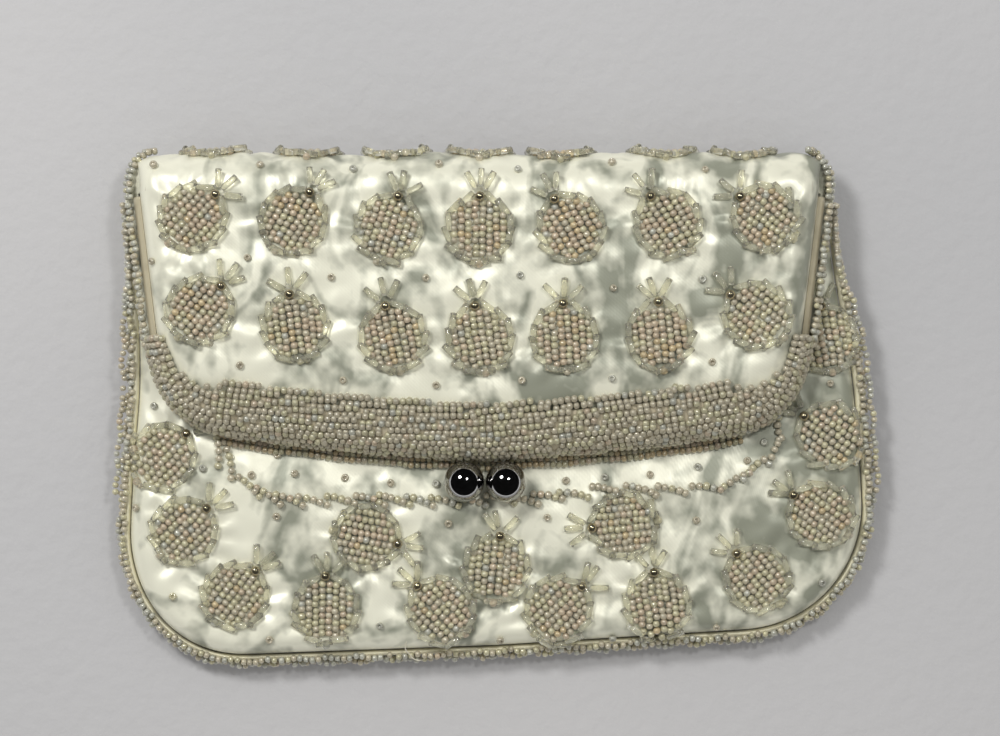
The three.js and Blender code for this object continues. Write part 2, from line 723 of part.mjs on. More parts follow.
const upperSection = [
  [-armInner, upperFootZ], [upperArmOuter, upperFootZ],
  [upperArmOuter, upperFootZ + upperArmHeight],
  [upperArmOuter - armWall, upperFootZ + upperArmHeight],
  [upperArmOuter - armWall, upperFootZ + armWall],
  [armWall - armInner, upperFootZ + armWall],
  [armWall - armInner, upperFootZ + upperArmLip], [-armInner, upperFootZ + upperArmLip],
];
const grooveInner = mouthInset - clearance;
const lowerSection = [
  [-armInner, lowerFootZ], [lowerArmOuter, lowerFootZ],
  [lowerArmOuter, lowerFootZ + armWall], [grooveInner, lowerFootZ + armWall],
  [grooveInner, mouthZ + clearance], [lowerArmOuter, mouthZ + clearance],
  [lowerArmOuter, lowerTopZ], [-armInner, lowerTopZ],
];
function arm(section, earSpan, footZ, headZ) {
  const bar = toSolid(barAlong(rimLine, rimShares, () => section));
  return bar.add(ear(earSpan, 1, footZ, headZ)).add(ear(earSpan, -1, footZ, headZ));
}
addPiece('upper_frame_arm', toGeometry(
  arm(upperSection, upperEar, upperFootZ, upperFootZ + earRadius - 0.8)), steelLook);
addPiece('lower_frame_arm', toGeometry(
  arm(lowerSection, lowerEar, lowerTopZ - earRadius + 0.8, lowerTopZ)), steelLook);

for (const [name, side] of [['left_hinge_rivet', -1], ['right_hinge_rivet', 1]]) {
  const inner = upperEar[0] - clearance;
  const outer = lowerEar[1] + clearance;
  const profile = [
    [0, inner - rivetHeadThickness], [rivetHeadRadius, inner - rivetHeadThickness],
    [rivetHeadRadius, inner], [rivetRadius, inner], [rivetRadius, outer],
    [rivetHeadRadius, outer], [rivetHeadRadius, outer + rivetHeadThickness],
    [0, outer + rivetHeadThickness],
  ].map(([radius, along]) => new THREE.Vector2(radius, along));
  const rivet = new THREE.LatheGeometry(profile, 10);
  rivet.rotateZ(-Math.PI / 2).translate(0, hingeY, hingeZ).scale(side, 1, 1);
  addPiece(name, closedCopy(rivet), steelLook);
}

// Clasp: two balls that snap past each other, each on a bent strap from its arm
const strapRoot = { upper: upperArmOuter + clearance, lower: lowerArmOuter + clearance };
const ballZ = hingeZ + claspHeight;
function claspBallWithStrap(x, rootOut, rootZ) {
  const rimY = rimLine.at(rimLine.nearest(x, rimPointY).share).y;
  const ballY = rimPointY - claspReach;
  const half = claspStrapThickness / 2;
  const strap = new THREE.Shape();
  strap.moveTo(rimY - rootOut, rootZ - half);
  strap.lineTo(rimY - rootOut, rootZ + half);
  strap.lineTo(rimY - rootOut - 2.4, rootZ + half);
  strap.lineTo(ballY + 0.5, ballZ + 1);
  strap.lineTo(ballY - 0.5, ballZ - 1);
  strap.lineTo(rimY - rootOut - 2.8, rootZ - half);
  const bent = new THREE.ExtrudeGeometry(strap, { depth: claspStrapWidth, bevelEnabled: false });
  bent.rotateX(Math.PI / 2).rotateZ(Math.PI / 2).translate(x - claspStrapWidth / 2, 0, 0);
  const ball = new THREE.SphereGeometry(claspBall / 2, 14, 9);
  ball.rotateX(Math.PI / 2).translate(x, ballY, ballZ);
  return joined([bent, ball]);
}
const ballHalfSpacing = (claspBall + clearance) / 2;
const upperStrapZ = beadFootZ + claspStrapThickness / 2 + clearance;
const lowerStrapZ = lowerTopZ - claspStrapThickness / 2;
addPiece('left_clasp_ball', toGeometry(
  claspBallWithStrap(claspX - ballHalfSpacing, strapRoot.upper, upperStrapZ)), chromeLook);
addPiece('right_clasp_ball', toGeometry(
  claspBallWithStrap(claspX + ballHalfSpacing, strapRoot.lower, lowerStrapZ)), chromeLook);

// Notch through bead work for a strap of the clasp
function strapNotch(x, lowZ, highZ) {
  const half = claspStrapWidth / 2 + 2 * clearance;
  return toSolid(boxBetween(
    new THREE.Vector3(x - half, rimPointY - 12, lowZ), new THREE.Vector3(x + half, rimPointY + 6, highZ)));
}

// Upper band: rows of beads over the frame and the lower part of the flap
const coverSteps = [0.6, 1.5, 3, 7, bandDepth];
const coverShares = [0.045, 0.12, 0.23, 0.53, 1];
function bandSection(share, at, out) {
  const centre = Math.abs(share - 0.5) / (0.5 - rimLine.shareAt(bandTipY));
  const depth = bandDepth * (1 - 0.82 * smoothstep(centre, 0.62, 1));
  const surface = (d) => flapZ(at.x - out.x * d, at.y - out.y * d);
  const inner = coverSteps.map((step, k) => {
    const d = Math.min(step, depth * coverShares[k]);
    return [-d, surface(d) + 3 * clearance];
  });
  const topZ = surface(depth) + 3 * clearance + bandCover;
  const outer = evenSteps(Math.PI / 2, 0, 2 * bandRows).map((angle, k) => {
    const swell = (k % 2 ? bandRidge : -bandGroove) * (depth / bandDepth);
    const e = -depth + (depth + bandLip) * Math.cos(angle) ** 0.85;
    const z = beadFootZ + (topZ - beadFootZ) * Math.sin(angle) ** 0.85;
    const ends = k === 0 || k === 2 * bandRows;
    return ends ? [e, z] : [e + swell * Math.cos(angle), z + swell * Math.sin(angle)];
  });
  return [[beadInner, beadFootZ], [beadInner, upperFootZ + upperArmHeight + clearance], ...inner,
    ...outer];
}
const bandTip = rimLine.shareAt(bandTipY);
const bandShares = [bandTip, ...rimShares.filter((s) => s > bandTip + 0.005 && s < 0.995 - bandTip),
  1 - bandTip];
const upperBand = toSolid(barAlong(rimLine, bandShares, bandSection));
addPiece('upper_bead_band', toGeometry(upperBand.subtract(strapNotch(
  claspX - ballHalfSpacing, beadFootZ - 1, upperStrapZ + claspStrapThickness / 2 + clearance))),
beadLook);

// Lower band: beads on the mouth of the front panel, in the shadow of the upper one
const lowerBandShares = rimShares.filter(
  (share) => Math.abs(share - 0.5) < lowerBandShare * (0.5 - rimLine.shareAt(bandTipY)));
const lowerBand = toSolid(barAlong(rimLine, lowerBandShares, (share, at, out) => {
  const inner = lowerArmOuter + clearance;
  const surface = (e) => frontPanelZ(at.x + out.x * e, at.y + out.y * e) + 2 * clearance;
  const outer = inner + lowerBandWidth;
  return [
    [inner, surface(inner)], [outer, surface(outer)],
    [outer, surface(outer) + lowerBandHeight * 0.6],
    [outer - 1.2, surface(outer - 1.2) + lowerBandHeight],
    [bandLip + 0.4, mouthZ + clearance + lowerBandHeight],
    [inner, mouthZ + clearance + lowerBandHeight * 0.8],
  ];
}));
addPiece('lower_bead_band', toGeometry(lowerBand.subtract(strapNotch(
  claspX + ballHalfSpacing, lowerStrapZ - claspStrapThickness / 2 - clearance, ballZ))), beadLook);

// Double string of beads up each side seam of the flap
const trimStart = rimLine.shareAt(hingeY - armEndGap + 0.6);
const trimEnd = rimLine.shareAt(bandTipY + clearance + 0.4);
for (const [name, mirror] of [['left_flap_beads', false], ['right_flap_beads', true]]) {
  const shares = evenSteps(trimStart, trimEnd, 8).map((share) => (mirror ? 1 - share : share));
  const beads = barAlong(rimLine, shares, (share) => {
    const step = Math.round((8 * ((mirror ? 1 - share : share) - trimStart)) / (trimEnd - trimStart));
    const width = trimWidth * (step % 2 ? 1 : 0.72);
    const outer = beadInner + width;
    return [
      [beadInner, beadFootZ], [outer - 0.5, beadFootZ], [outer, beadFootZ + trimHeight * 0.4],
      [outer - 0.4, beadFootZ + trimHeight * 0.8], [beadInner, beadFootZ + trimHeight],
    ];
  });
  addPiece(name, beads, beadLook);
}

// Binding of the pouch seam and the strings of beads sewn along it
const edgeCount = 2 * Math.round((pouchLine.length - 2 * pouchStart) / beadGroup / 2);
const edgeShares = evenSteps(pouchStart, pouchLine.length - pouchStart, edgeCount).map(
  (length) => length / pouchLine.length);
const bindingInner = 3 * clearance;
const bindingOuter = bindingInner + bindingThickness;
addPiece('edge_binding', barAlong(pouchLine, edgeShares, (share, at) => {
  const middle = seamZ(at.y);
  const half = bindingHeight / 2;
  return [[bindingInner, middle - half], [bindingOuter, middle - half],
    [bindingOuter, middle + half], [bindingInner, middle + half]];
}), bindingLook);
const edgeInner = bindingOuter + clearance;
addPiece('edge_beads', barAlong(
  pouchLine, edgeShares, (share, at) => {
    const group = Math.round((edgeCount * (share * pouchLine.length - pouchStart))
      / (pouchLine.length - 2 * pouchStart));
    const side = lerp(edgeBeadsNarrow, edgeBeadsWide, smoothstep(at.y, -72, -50));
    const top = lerp(side, edgeBeadsTop, smoothstep(at.y, 20, 55));
    const width = top * (group % 2 ? 1 : 0.78);
    const middle = seamZ(at.y);
    const half = (edgeBeadsHeight / 2) * (group % 2 ? 1 : 0.8);
    return [
      [edgeInner, middle - half], [edgeInner + width * 0.7, middle - half],
      [edgeInner + width, middle], [edgeInner + width * 0.7, middle + half],
      [edgeInner, middle + half],
    ];
  }), beadLook);

// Line of short slanted strings across the front
const arcCurve = new THREE.CatmullRomCurve3(arcPath.map(([share, y]) => new THREE.Vector3(share * rimHalfTop, y, 0)));
const arcSections = evenSteps(0, 1, 2 * arcStrings).map((share, k) => {
  const at = arcCurve.getPointAt(share);
  const along = arcCurve.getTangentAt(share);
  const half = (arcString / 2) * (k % 2 ? 1 : 0.7);
  const side = new THREE.Vector3(-along.y, along.x, 0);
  const point = (across, rise) => {
    const p = at.clone().addScaledVector(side, across);
    p.z = frontPanelZ(p.x, p.y) + 2 * clearance + rise;
    return p;
  };
  return [point(-half, 0), point(half, 0), point(half * 0.8, arcHeight * 0.7), point(0, arcHeight),
    point(-half * 0.8, arcHeight * 0.7)];
});
addPiece('front_bead_arc', loft(arcSections), beadLook);

// The finished bag lies over the middle of its own outline
bag.updateMatrixWorld(true);
const reach = new THREE.Box3().setFromObject(bag, true);
bag.position.set(-(reach.min.x + reach.max.x) / 2, -(reach.min.y + reach.max.y) / 2, -reach.min.z);

export default bag;
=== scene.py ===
# A beaded satin evening bag that lies on its back, dressed round its CAD frame.
# Lengths are millimetres of the bag's own drawing until a mesh is put in its place in metres.
import math

import bmesh
import bpy
import numpy as np
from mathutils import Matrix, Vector, geometry, noise


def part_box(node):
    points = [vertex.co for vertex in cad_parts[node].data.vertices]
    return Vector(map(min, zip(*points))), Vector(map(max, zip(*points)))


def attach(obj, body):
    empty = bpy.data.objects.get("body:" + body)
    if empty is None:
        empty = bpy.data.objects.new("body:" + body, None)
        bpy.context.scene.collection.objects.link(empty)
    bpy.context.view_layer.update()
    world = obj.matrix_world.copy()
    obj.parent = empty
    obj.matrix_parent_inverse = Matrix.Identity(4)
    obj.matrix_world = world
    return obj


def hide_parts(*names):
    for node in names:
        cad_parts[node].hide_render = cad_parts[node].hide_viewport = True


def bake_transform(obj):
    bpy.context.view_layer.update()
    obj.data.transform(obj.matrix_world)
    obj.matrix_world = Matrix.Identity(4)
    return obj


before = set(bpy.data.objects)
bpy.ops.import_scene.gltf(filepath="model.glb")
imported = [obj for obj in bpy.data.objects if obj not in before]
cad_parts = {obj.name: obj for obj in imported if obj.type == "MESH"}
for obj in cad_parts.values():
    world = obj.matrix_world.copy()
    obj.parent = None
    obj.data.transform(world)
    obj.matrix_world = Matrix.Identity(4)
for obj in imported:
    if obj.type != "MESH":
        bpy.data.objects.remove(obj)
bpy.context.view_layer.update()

# The camera looks straight down from three quarters of a metre.
# The hinge rivets give the drawing's place: its hinge line is 63 up the bag and 14 high.
hinge_y, hinge_z = 63, 14
rivet_corners = [*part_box("left_hinge_rivet"), *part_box("right_hinge_rivet")]
hinge = sum(rivet_corners, Vector()) / 4


def in_place(x, y, z):
    """Points in metres from the millimetres of the drawing."""
    x, y, z = np.broadcast_arrays(x, y, z)
    return np.stack(
        [x / 1000 + hinge.x, (y - hinge_y) / 1000 + hinge.y, (z - hinge_z) / 1000 + hinge.z], -1)


def placed(name, data):
    """An object of its own in the scene, from a lamp, a camera, a mesh or a finished bmesh."""
    if isinstance(data, bmesh.types.BMesh):
        bm, data = data, bpy.data.meshes.new(name)
        bm.to_mesh(data)
        bm.free()
    piece = bpy.data.objects.new(name, data)
    bpy.context.scene.collection.objects.link(piece)
    return piece


camera = placed("camera", bpy.data.cameras.new("camera"))
bpy.context.scene.camera = camera
camera.data.lens = 90
camera.data.sensor_width = 36
camera.data.clip_start = 0.02
camera.location = in_place(6.15, 11.1, 758).tolist()

# The table is a pale sheet of card with a fine grain, and reaches far past the bag.
scatter = np.random.default_rng(7)


def new_material(name, color, roughness):
    """A material with its nodes, its shader and a helper that adds and wires nodes."""
    material = bpy.data.materials.new(name)
    material.use_nodes = True
    nodes, links = material.node_tree.nodes, material.node_tree.links
    shader = nodes["Principled BSDF"]
    shader.inputs["Base Color"].default_value = (*color, 1)
    shader.inputs["Roughness"].default_value = roughness

    def add(kind, **wires):
        node = nodes.new("ShaderNode" + kind)
        for key, value in wires.items():
            if hasattr(node, key):
                setattr(node, key, value)
                continue
            socket = node.inputs[int(key[3:])] if key.startswith("in_") else node.inputs[key]
            if isinstance(value, bpy.types.NodeSocket):
                links.new(value, socket)
            else:
                socket.default_value = value
        return node

    return material, shader, add, links


def bumped(shader, add, links, height, strength, distance):
    bump = add("Bump", Height=height, Strength=strength, Distance=distance)
    links.new(bump.outputs["Normal"], shader.inputs["Normal"])


def two_toned(shader, add, links, value, low, low_color, high, high_color):
    """Colours a surface from one tone to another, as a value runs from low to high."""
    tone = add("ValToRGB", Fac=value)
    first, second = tone.color_ramp.elements
    first.position, second.position = low, high
    first.color, second.color = (*low_color, 1), (*high_color, 1)
    links.new(tone.outputs["Color"], shader.inputs["Base Color"])


card, shader, add, links = new_material("pale_card", (0.52, 0.517, 0.522), 0.75)
where = add("TexCoord")
grain = add("TexNoise", Vector=where.outputs["Object"], Scale=190.0, Detail=3.0)
cloudy = add("TexNoise", Vector=where.outputs["Object"], Scale=3.0, Detail=2.0)
two_toned(shader, add, links, cloudy.outputs["Fac"],
          0.3, (0.47, 0.467, 0.47), 0.7, (0.54, 0.53, 0.526))
bumped(shader, add, links, grain.outputs["Fac"], 0.4, 0.0012)
bm = bmesh.new()
bmesh.ops.create_grid(bm, x_segments=1, y_segments=1, size=3)
table = placed("table", bm)
table.data.materials.append(card)

bpy.context.scene.view_settings.view_transform = "Standard"
world = bpy.data.worlds.new("studio")
bpy.context.scene.world = world
world.use_nodes = True
tree = world.node_tree
sky = tree.nodes["Background"]
sky.inputs["Color"].default_value = (1, 1, 1, 1)
ray = tree.nodes.new("ShaderNodeLightPath")
seen = ray.outputs["Is Camera Ray"]
for kind in ("Is Glossy Ray", "Is Transmission Ray"):
    either = tree.nodes.new("ShaderNodeMath")
    either.operation = "MAXIMUM"
    tree.links.new(seen, either.inputs[0])
    tree.links.new(ray.outputs[kind], either.inputs[1])
    seen = either.outputs[0]
power = tree.nodes.new("ShaderNodeMapRange")
power.inputs["To Min"].default_value = 0.5
power.inputs["To Max"].default_value = 1.0
tree.links.new(seen, power.inputs["Value"])
tree.links.new(power.outputs["Result"], sky.inputs["Strength"])

# A dim tent stands over the table. Only what shines shows it, as it would a dark room.
dark, shader, add, links = new_material("dark_tent", (0.012, 0.012, 0.012), 0.9)
bm = bmesh.new()
bmesh.ops.create_uvsphere(bm, u_segments=48, v_segments=24, radius=2.5)
bmesh.ops.bisect_plane(
    bm, geom=[*bm.verts, *bm.edges, *bm.faces], plane_co=(0, 0, 0.3), plane_no=(0, 0, 1),
    clear_inner=True)
tent = placed("dark_tent", bm)
tent.data.materials.append(dark)
tent.visible_camera = False
tent.visible_diffuse = False
tent.visible_shadow = False
tent.visible_transmission = False
for name, place, size, watts in [
    ("key_lamp", (-0.42, 0.5, 0.85), 0.2, 5.1), ("fill_lamp", (0.3, 0.32, 0.95), 0.13, 2.1),
]:
    lamp = placed(name, bpy.data.lights.new(name, "AREA"))
    lamp.data.size = size
    lamp.data.energy = watts
    lamp.location = place
    lamp.rotation_euler = (Vector(place) * -1).to_track_quat("-Z", "Y").to_euler()

# Satin. One piece of ivory satin makes the back, rounds over the fold and is the flap.
# A second piece is the front. Both are stitched through by the beads, which pucker them.
flap_berries = [
    (-84, 55, -45), (-54.5, 54, -31), (-26.7, 52, -19), (0, 51.8, 0), (27, 52, 30),
    (55.4, 53.3, 34), (84, 55, 52), (-82, 28, -40), (-54, 23, 8), (-25.2, 20, 12),
    (0.3, 19.6, 9), (25.2, 20, 4), (53, 20.4, 6), (81.5, 26.6, 51),
]
front_berries = [
    (-94.6, -15.6, -45), (-88.1, -37.6, -46), (-72.8, -56.8, -38), (-45.7, -61, 0),
    (-33.8, -39.2, -102), (-11.4, -61, 45), (5, -48.5, -5), (23.4, -60.8, -46),
    (43.1, -35.6, 96), (53, -59.6, 8), (82.7, -51.7, 41), (101.6, -32.7, 54),
    (104.6, -9.2, 53), (103.4, 19.6, 10),
]
fold_berries = [-79, -51, -25, 0, 24, 55, 78.5]
fold_row = 84.5
round_fold = flap_berries + [(at, fold_row, 0) for at in fold_berries]
rim_half, seam_half = 100.6, 104.2
rim_length, seam_length = 327, 424
bottom_y = -72
fold_radius = 11.5
back_z = 2.5


def bend(*corners):
    """A smooth bend from its two ends and their handles."""
    return [tuple(p)[:2] for p in geometry.interpolate_bezier(*[Vector(c) for c in corners], 60)]


def whole_line(half):
    """A line in plan from the left hinge round the bottom to the right one."""
    half = np.array(half, float)
    run = np.concatenate([[0], np.cumsum(np.linalg.norm(np.diff(half, axis=0), axis=1))])
    steps = np.linspace(0, run[-1], 121)
    right = np.stack([np.interp(steps, run, half[:, k]) for k in (0, 1)], 1)
    return np.concatenate([right * [-1, 1], right[-2::-1]])


def smooth(value, low, high):
    share = np.clip((value - low) / (high - low), 0, 1)
    return share * share * (3 - 2 * share)


def lie_askew(x, y):
    """The soft pouch drifts to the right under its frame and turns a little."""
    deep = np.clip((hinge_y - y) / (hinge_y - bottom_y), 0, 1)
    return x + 5 * smooth(hinge_y - y, 0, hinge_y), y + 0.05 * deep * x


rim = whole_line([
    (rim_half, hinge_y), *bend((95.5, 20), (93.8, 7), (89, -1.5), (78, -4.8)),
    *bend((78, -4.8), (56, -8.67), (30, -11.27), (0, -12.6)),
])
seam = whole_line([
    *bend((seam_half, hinge_y), (102.2, 35), (108.5, -5), (109.5, -34)),
    *bend((109.5, -34), (109.5, -54), (95, -71), (74, -71)), (0, bottom_y),
])
seam = np.stack(lie_askew(seam[:, 0], seam[:, 1]), 1)


def on_line(line, share):
    place = np.clip(share, 0, 1) * (len(line) - 1)
    return np.stack([np.interp(place, np.arange(len(line)), line[:, k]) for k in (0, 1)], -1)


def beside(line, share, out):
    """Points at a distance outwards of a line."""
    share = np.asarray(share, float)
    ahead = on_line(line, share + 0.004) - on_line(line, share - 0.004)
    ahead /= np.linalg.norm(ahead, axis=-1, keepdims=True)
    side = np.stack([ahead[..., 1], -ahead[..., 0]], -1)
    return on_line(line, share) + side * np.broadcast_to(out, share.shape)[..., None]


def from_line(line, x, y):
    """Least distance of each point from a line."""
    point = np.stack([np.ravel(x), np.ravel(y)], 1)
    best = np.full(len(point), 1e9)
    for a, b in zip(line[:-1], line[1:]):
        step = b - a
        share = np.clip(((point - a) @ step) / (step @ step), 0, 1)
        best = np.minimum(best, np.linalg.norm(point - a - share[:, None] * step, axis=1))
    return best.reshape(np.shape(x))


def rounded(distance, width):
    """Rounded edge of stuffed cloth: 0 at the edge, 1 from the width inwards."""
    inward = np.clip(1 - distance / width, 0, 1)
    return (1 - inward**2.5) ** 0.4


def seam_height(y):
    return 6.2 + 5 * (y - bottom_y) / (hinge_y - bottom_y)


def flap_height(x, y):
    flap_depth = 75.6
    along = np.maximum((hinge_y - y) / flap_depth, 0)
    top = hinge_z + fold_radius - 4 * along**2
    width = 17 - 9 * smooth(y, 8, 24)
    rim_z = 15.3
    return rim_z + (top - rim_z) * rounded(from_line(rim, x, y), width)


def back_height(x, y):
    edge = seam_height(y) - 0.15
    return edge + (back_z - edge) * rounded(from_line(seam, x, y), 12)


def front_height(x, y):
    edge = seam_height(y) + 0.15
    mouth, side = from_line(rim, x, y), from_line(seam, x, y)
    widest = 4.5 + 4.5 * smooth(y, -70, -48)
    width = np.maximum(np.minimum(widest, side + mouth - 1), 0.5)
    top = 11.5 + 1.9 * smooth(mouth, 3, 22)
    return edge + (top - edge) * rounded(side, width)


def wavy(x, y, size, seed):
    """Smooth noise over the plan, about -0.5 to 0.5."""
    spots = zip(np.ravel(x) / size, np.ravel(y) / size)
    return np.array([noise.noise((a, b, seed)) for a, b in spots]).reshape(np.shape(x))


def puckers(x, y, berries, seed):
    """Soft dents of the satin, its fine creases, and the puckers that the stitched berries draw."""
    lift = 0.9 * wavy(x, y, 21, seed) + 0.55 * wavy(x, y, 9, seed + 3)
    lift += 0.26 * np.abs(wavy(x, y, 5, seed + 5)) + 0.3
    swirl = wavy(x, y, 14, seed + 9)
    for at_x, at_y, _ in berries:
        distance = np.hypot(x - at_x, y - at_y)
        angle = np.arctan2(y - at_y, x - at_x)
        ring = np.exp(-(((distance - 12.5) / 3.6) ** 2))
        lift += 0.36 * ring * np.sin(9 * angle + at_x + 5 * swirl)
        lift -= 0.55 * np.exp(-((distance / 11.5) ** 4))
    return lift


def crowded(count, pull):
    """Even steps from 0 to 1, drawn together at both ends."""
    steps = np.linspace(0, 1, count)
    return steps - pull * np.sin(2 * math.pi * steps) / (2 * math.pi)


def four_sided(u, v, left, right, low, high):
    """A patch between a left and a right side, a low and a high edge, in plan."""
    zero, one = np.zeros_like(u), np.ones_like(u)

    def between(a, b, share):
        return a + (b - a) * share[..., None]

    sides = between(left(v), right(v), u)
    ends = between(low(u), high(u), v)
    corners = between(
        between(left(zero), right(zero), u), between(left(one), right(one), u), v)
    return sides + ends - corners


def cloth(name, finish, across, along, shape, flat, thickness=0.0008):
    """A sheet of cloth from a grid: shape turns the grid's two shares into its points."""
    bm = bmesh.new()
    bmesh.ops.create_grid(bm, x_segments=len(across) - 1, y_segments=len(along) - 1, size=0.5)
    piece = placed(name, bm)
    mesh = piece.data
    flat_places = np.empty(len(mesh.vertices) * 3)
    mesh.vertices.foreach_get("co", flat_places)
    column = np.rint((flat_places[0::3] + 0.5) * (len(across) - 1)).astype(int)
    row = np.rint((flat_places[1::3] + 0.5) * (len(along) - 1)).astype(int)
    u, v = across[column], along[row]
    mesh.vertices.foreach_set("co", shape(u, v).astype(np.float32).ravel())
    weave = mesh.uv_layers.new(name="weave")
    corner = np.empty(len(mesh.loops), int)
    mesh.loops.foreach_get("vertex_index", corner)
    weave.data.foreach_set(
        "uv", np.stack([u * flat[0], v * flat[1]], 1)[corner].astype(np.float32).ravel())
    mesh.polygons.foreach_set("use_smooth", np.ones(len(mesh.polygons), bool))
    mesh.update()
    doubled = piece.modifiers.new("thickness", "SOLIDIFY")
    doubled.thickness = thickness
    doubled.offset = -1
    mesh.materials.append(finish)
    return piece


def satin_finish(name, light, dark):
    """Satin: a twill of fine ribs, with cloudy patches of painted sheen and painted shade in its
    colour.
    """
    material, shader, add, links = new_material(name, light, 0.37)
    shader.inputs["Metallic"].default_value = 0.22
    shader.inputs["Sheen Weight"].default_value = 0.2
    shader.inputs["Sheen Roughness"].default_value = 0.4
    shader.inputs["Specular IOR Level"].default_value = 0.62
    where = add("TexCoord")
    drawn = add("Mapping", Vector=where.outputs["Object"])
    drawn.inputs["Scale"].default_value = (1.0, 0.62, 1.0)
    patch = add("TexNoise", Vector=drawn.outputs["Vector"], Scale=62.0, Detail=2.5,
                Roughness=0.5, Distortion=1.1)
    fine = add("TexNoise", Vector=where.outputs["Object"], Scale=190.0, Detail=2.0)
    both = add("Math", operation="MULTIPLY_ADD", in_0=fine.outputs["Fac"], in_1=0.3,
               in_2=patch.outputs["Fac"])
    spot = add("SeparateXYZ", Vector=where.outputs["Object"])
    # Painted shade: the satin's colour turns darker towards the right of the bag.
    painted_side_shade = add("Math", operation="MULTIPLY_ADD", in_0=spot.outputs["X"], in_1=-0.7,
                 in_2=both.outputs[0])
    two_toned(shader, add, links, painted_side_shade.outputs[0], 0.52, dark, 0.71, light)
    ribs = add("TexWave", Vector=where.outputs["UV"], Scale=520.0, bands_direction="DIAGONAL")
    cross = add("TexWave", Vector=where.outputs["UV"], Scale=700.0, bands_direction="X")
    weave = add("Math", operation="ADD", in_0=ribs.outputs["Fac"], in_1=cross.outputs["Fac"])
    bumped(shader, add, links, weave.outputs[0], 0.12, 0.00006)
    return material


# Ivory satin, with a grey-green as its painted shade and the ivory as its painted sheen.
satin = satin_finish("ivory_satin", (0.9, 0.885, 0.72), (0.33, 0.34, 0.262))
rim_corner = (43.3 + 16) / rim_length
seam_corner = 0.27


def flap_side(v, mirror):
    """Points down a side of the flap: 1 at the hinge line, 0 at the rim's corner."""
    share = rim_corner * (1 - v)
    return on_line(rim, 1 - share if mirror else share)


def fold_and_flap(u, v):
    """The satin from the rim of the flap, up over it and round the fold to the back."""
    round_share = 0.33
    on_flap = v < 1 - round_share
    down = np.clip(v / (1 - round_share), 0, 1)
    plan = four_sided(
        u, down, lambda s: flap_side(s, False), lambda s: flap_side(s, True),
        lambda s: on_line(rim, rim_corner + (1 - 2 * rim_corner) * s),
        lambda s: np.stack([rim_half * (2 * s - 1), np.full_like(s, hinge_y)], -1))
    x, y = plan[..., 0], plan[..., 1]
    edge = np.clip(from_line(rim, x, y) / 7, 0, 1)
    z = flap_height(x, y)
    angle = math.pi / 2 - math.pi * np.clip((v - 1 + round_share) / round_share, 0, 1)
    end = np.abs(2 * u - 1) ** 24
    reach = fold_radius - 2.5 * end
    at_hinge, spread = np.full_like(x, hinge_y), 1.036
    low, high = back_height(x * spread, at_hinge), flap_height(x, at_hinge)
    round_x = x * (1.018 - 0.018 * np.sin(angle))
    round_y = hinge_y + reach * np.cos(angle)
    round_z = (high + low) / 2 + (high - low) / 2 * np.sin(angle)
    x = np.where(on_flap, x, round_x)
    run = np.where(on_flap, y, hinge_y + fold_radius * (math.pi / 2 - angle))
    y = np.where(on_flap, y, round_y)
    z = np.where(on_flap, z, round_z)
    loose = np.where(on_flap, edge, np.clip((1 - end) * 1.2, 0, 1)) * np.clip((1 - v) * 12, 0, 1)
    lift = puckers(x, run, round_fold, 2.0) * loose
    out_y = np.where(on_flap, 0, np.cos(angle))
    out_z = np.where(on_flap, 1, np.sin(angle))
    return in_place(x, y + lift * out_y, z + lift * out_z)


fold_flap = cloth("fold_and_flap_satin", satin, crowded(211, 0.75), crowded(141, 0.55),
                  fold_and_flap, (0.205, 0.118))
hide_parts("flap_panel", "fold_panel")
fold_bends = {"start": in_place(0, 63, 2.5).tolist(), "end": in_place(0, 60, 16).tolist()}
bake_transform(fold_flap)

round_length, berry_pitch = 36.1, 32.5
back_rows = [hinge_y + round_length - (fold_row - hinge_y) - berry_pitch * row
             for row in (1, 2, 3, 4)]
back_places = [(*lie_askew(at, y), 0) for y in back_rows for at in fold_berries]


def back_sheet(u, v):
    """The satin of the back, seen from below: its first side is on the right."""
    plan = four_sided(
        1 - u, v, lambda s: on_line(seam, seam_corner * (1 - s)),
        lambda s: on_line(seam, 1 - seam_corner * (1 - s)),
        lambda s: on_line(seam, seam_corner + (1 - 2 * seam_corner) * s),
        lambda s: np.stack([seam_half * (2 * s - 1), np.full_like(s, hinge_y)], -1))
    x, y = plan[..., 0], plan[..., 1]
    edge = np.clip(from_line(seam, x, y) / 9, 0, 1) * np.clip((hinge_y - y) / 8, 0, 1)
    lift = 0.6 * edge * (puckers(x, y, back_places, 31.0) - 0.4)
    return in_place(x, y, np.maximum(back_height(x, y) - lift, 0.4))


back = cloth("back_satin", satin, crowded(181, 0.75), crowded(111, 0.6),
             back_sheet, (0.22, 0.137))
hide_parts("back_panel")
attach(back, "pouch")

mouth_marks = np.array([2.6, 43.3, 77.3, 163.5]) / rim_length
seam_marks = np.array([2.6, 93.5, 153.5, 212]) / seam_length


def paired(marks, share):
    """Matches the mouth with the seam: the same share is the same place on both."""
    half = np.where(share > 0.5, 1 - share, share) * 2
    place = np.interp(half, [0, 0.235, 0.64, 1], marks)
    return np.where(share > 0.5, 1 - place, place)


def front_sheet(u, v):
    """The satin of the front, from the seam up to the mouth in the lower arm's channel."""
    low = on_line(seam, paired(seam_marks, u))
    high = beside(rim, paired(mouth_marks, u), 0.4)
    plan = low + (high - low) * (v**1.35)[..., None]
    x, y = plan[..., 0], plan[..., 1]
    side, mouth = from_line(seam, x, y), from_line(rim, x, y)
    edge = np.clip(side / 8, 0, 1) * np.clip((mouth - 1) / 6, 0, 1)
    lift = edge * puckers(x, y, front_berries, 57.0)
    crease = smooth(-y, 60, 69) * (1 - smooth(side, 1, 5)) * smooth(side, 0, 1.2)
    return in_place(x, y, front_height(x, y) + lift - 0.7 * crease)


front = cloth("front_satin", satin, np.linspace(0, 1, 331), np.linspace(0, 1, 66),
              front_sheet, (0.4, 0.06))
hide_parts("front_panel")
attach(front, "pouch")
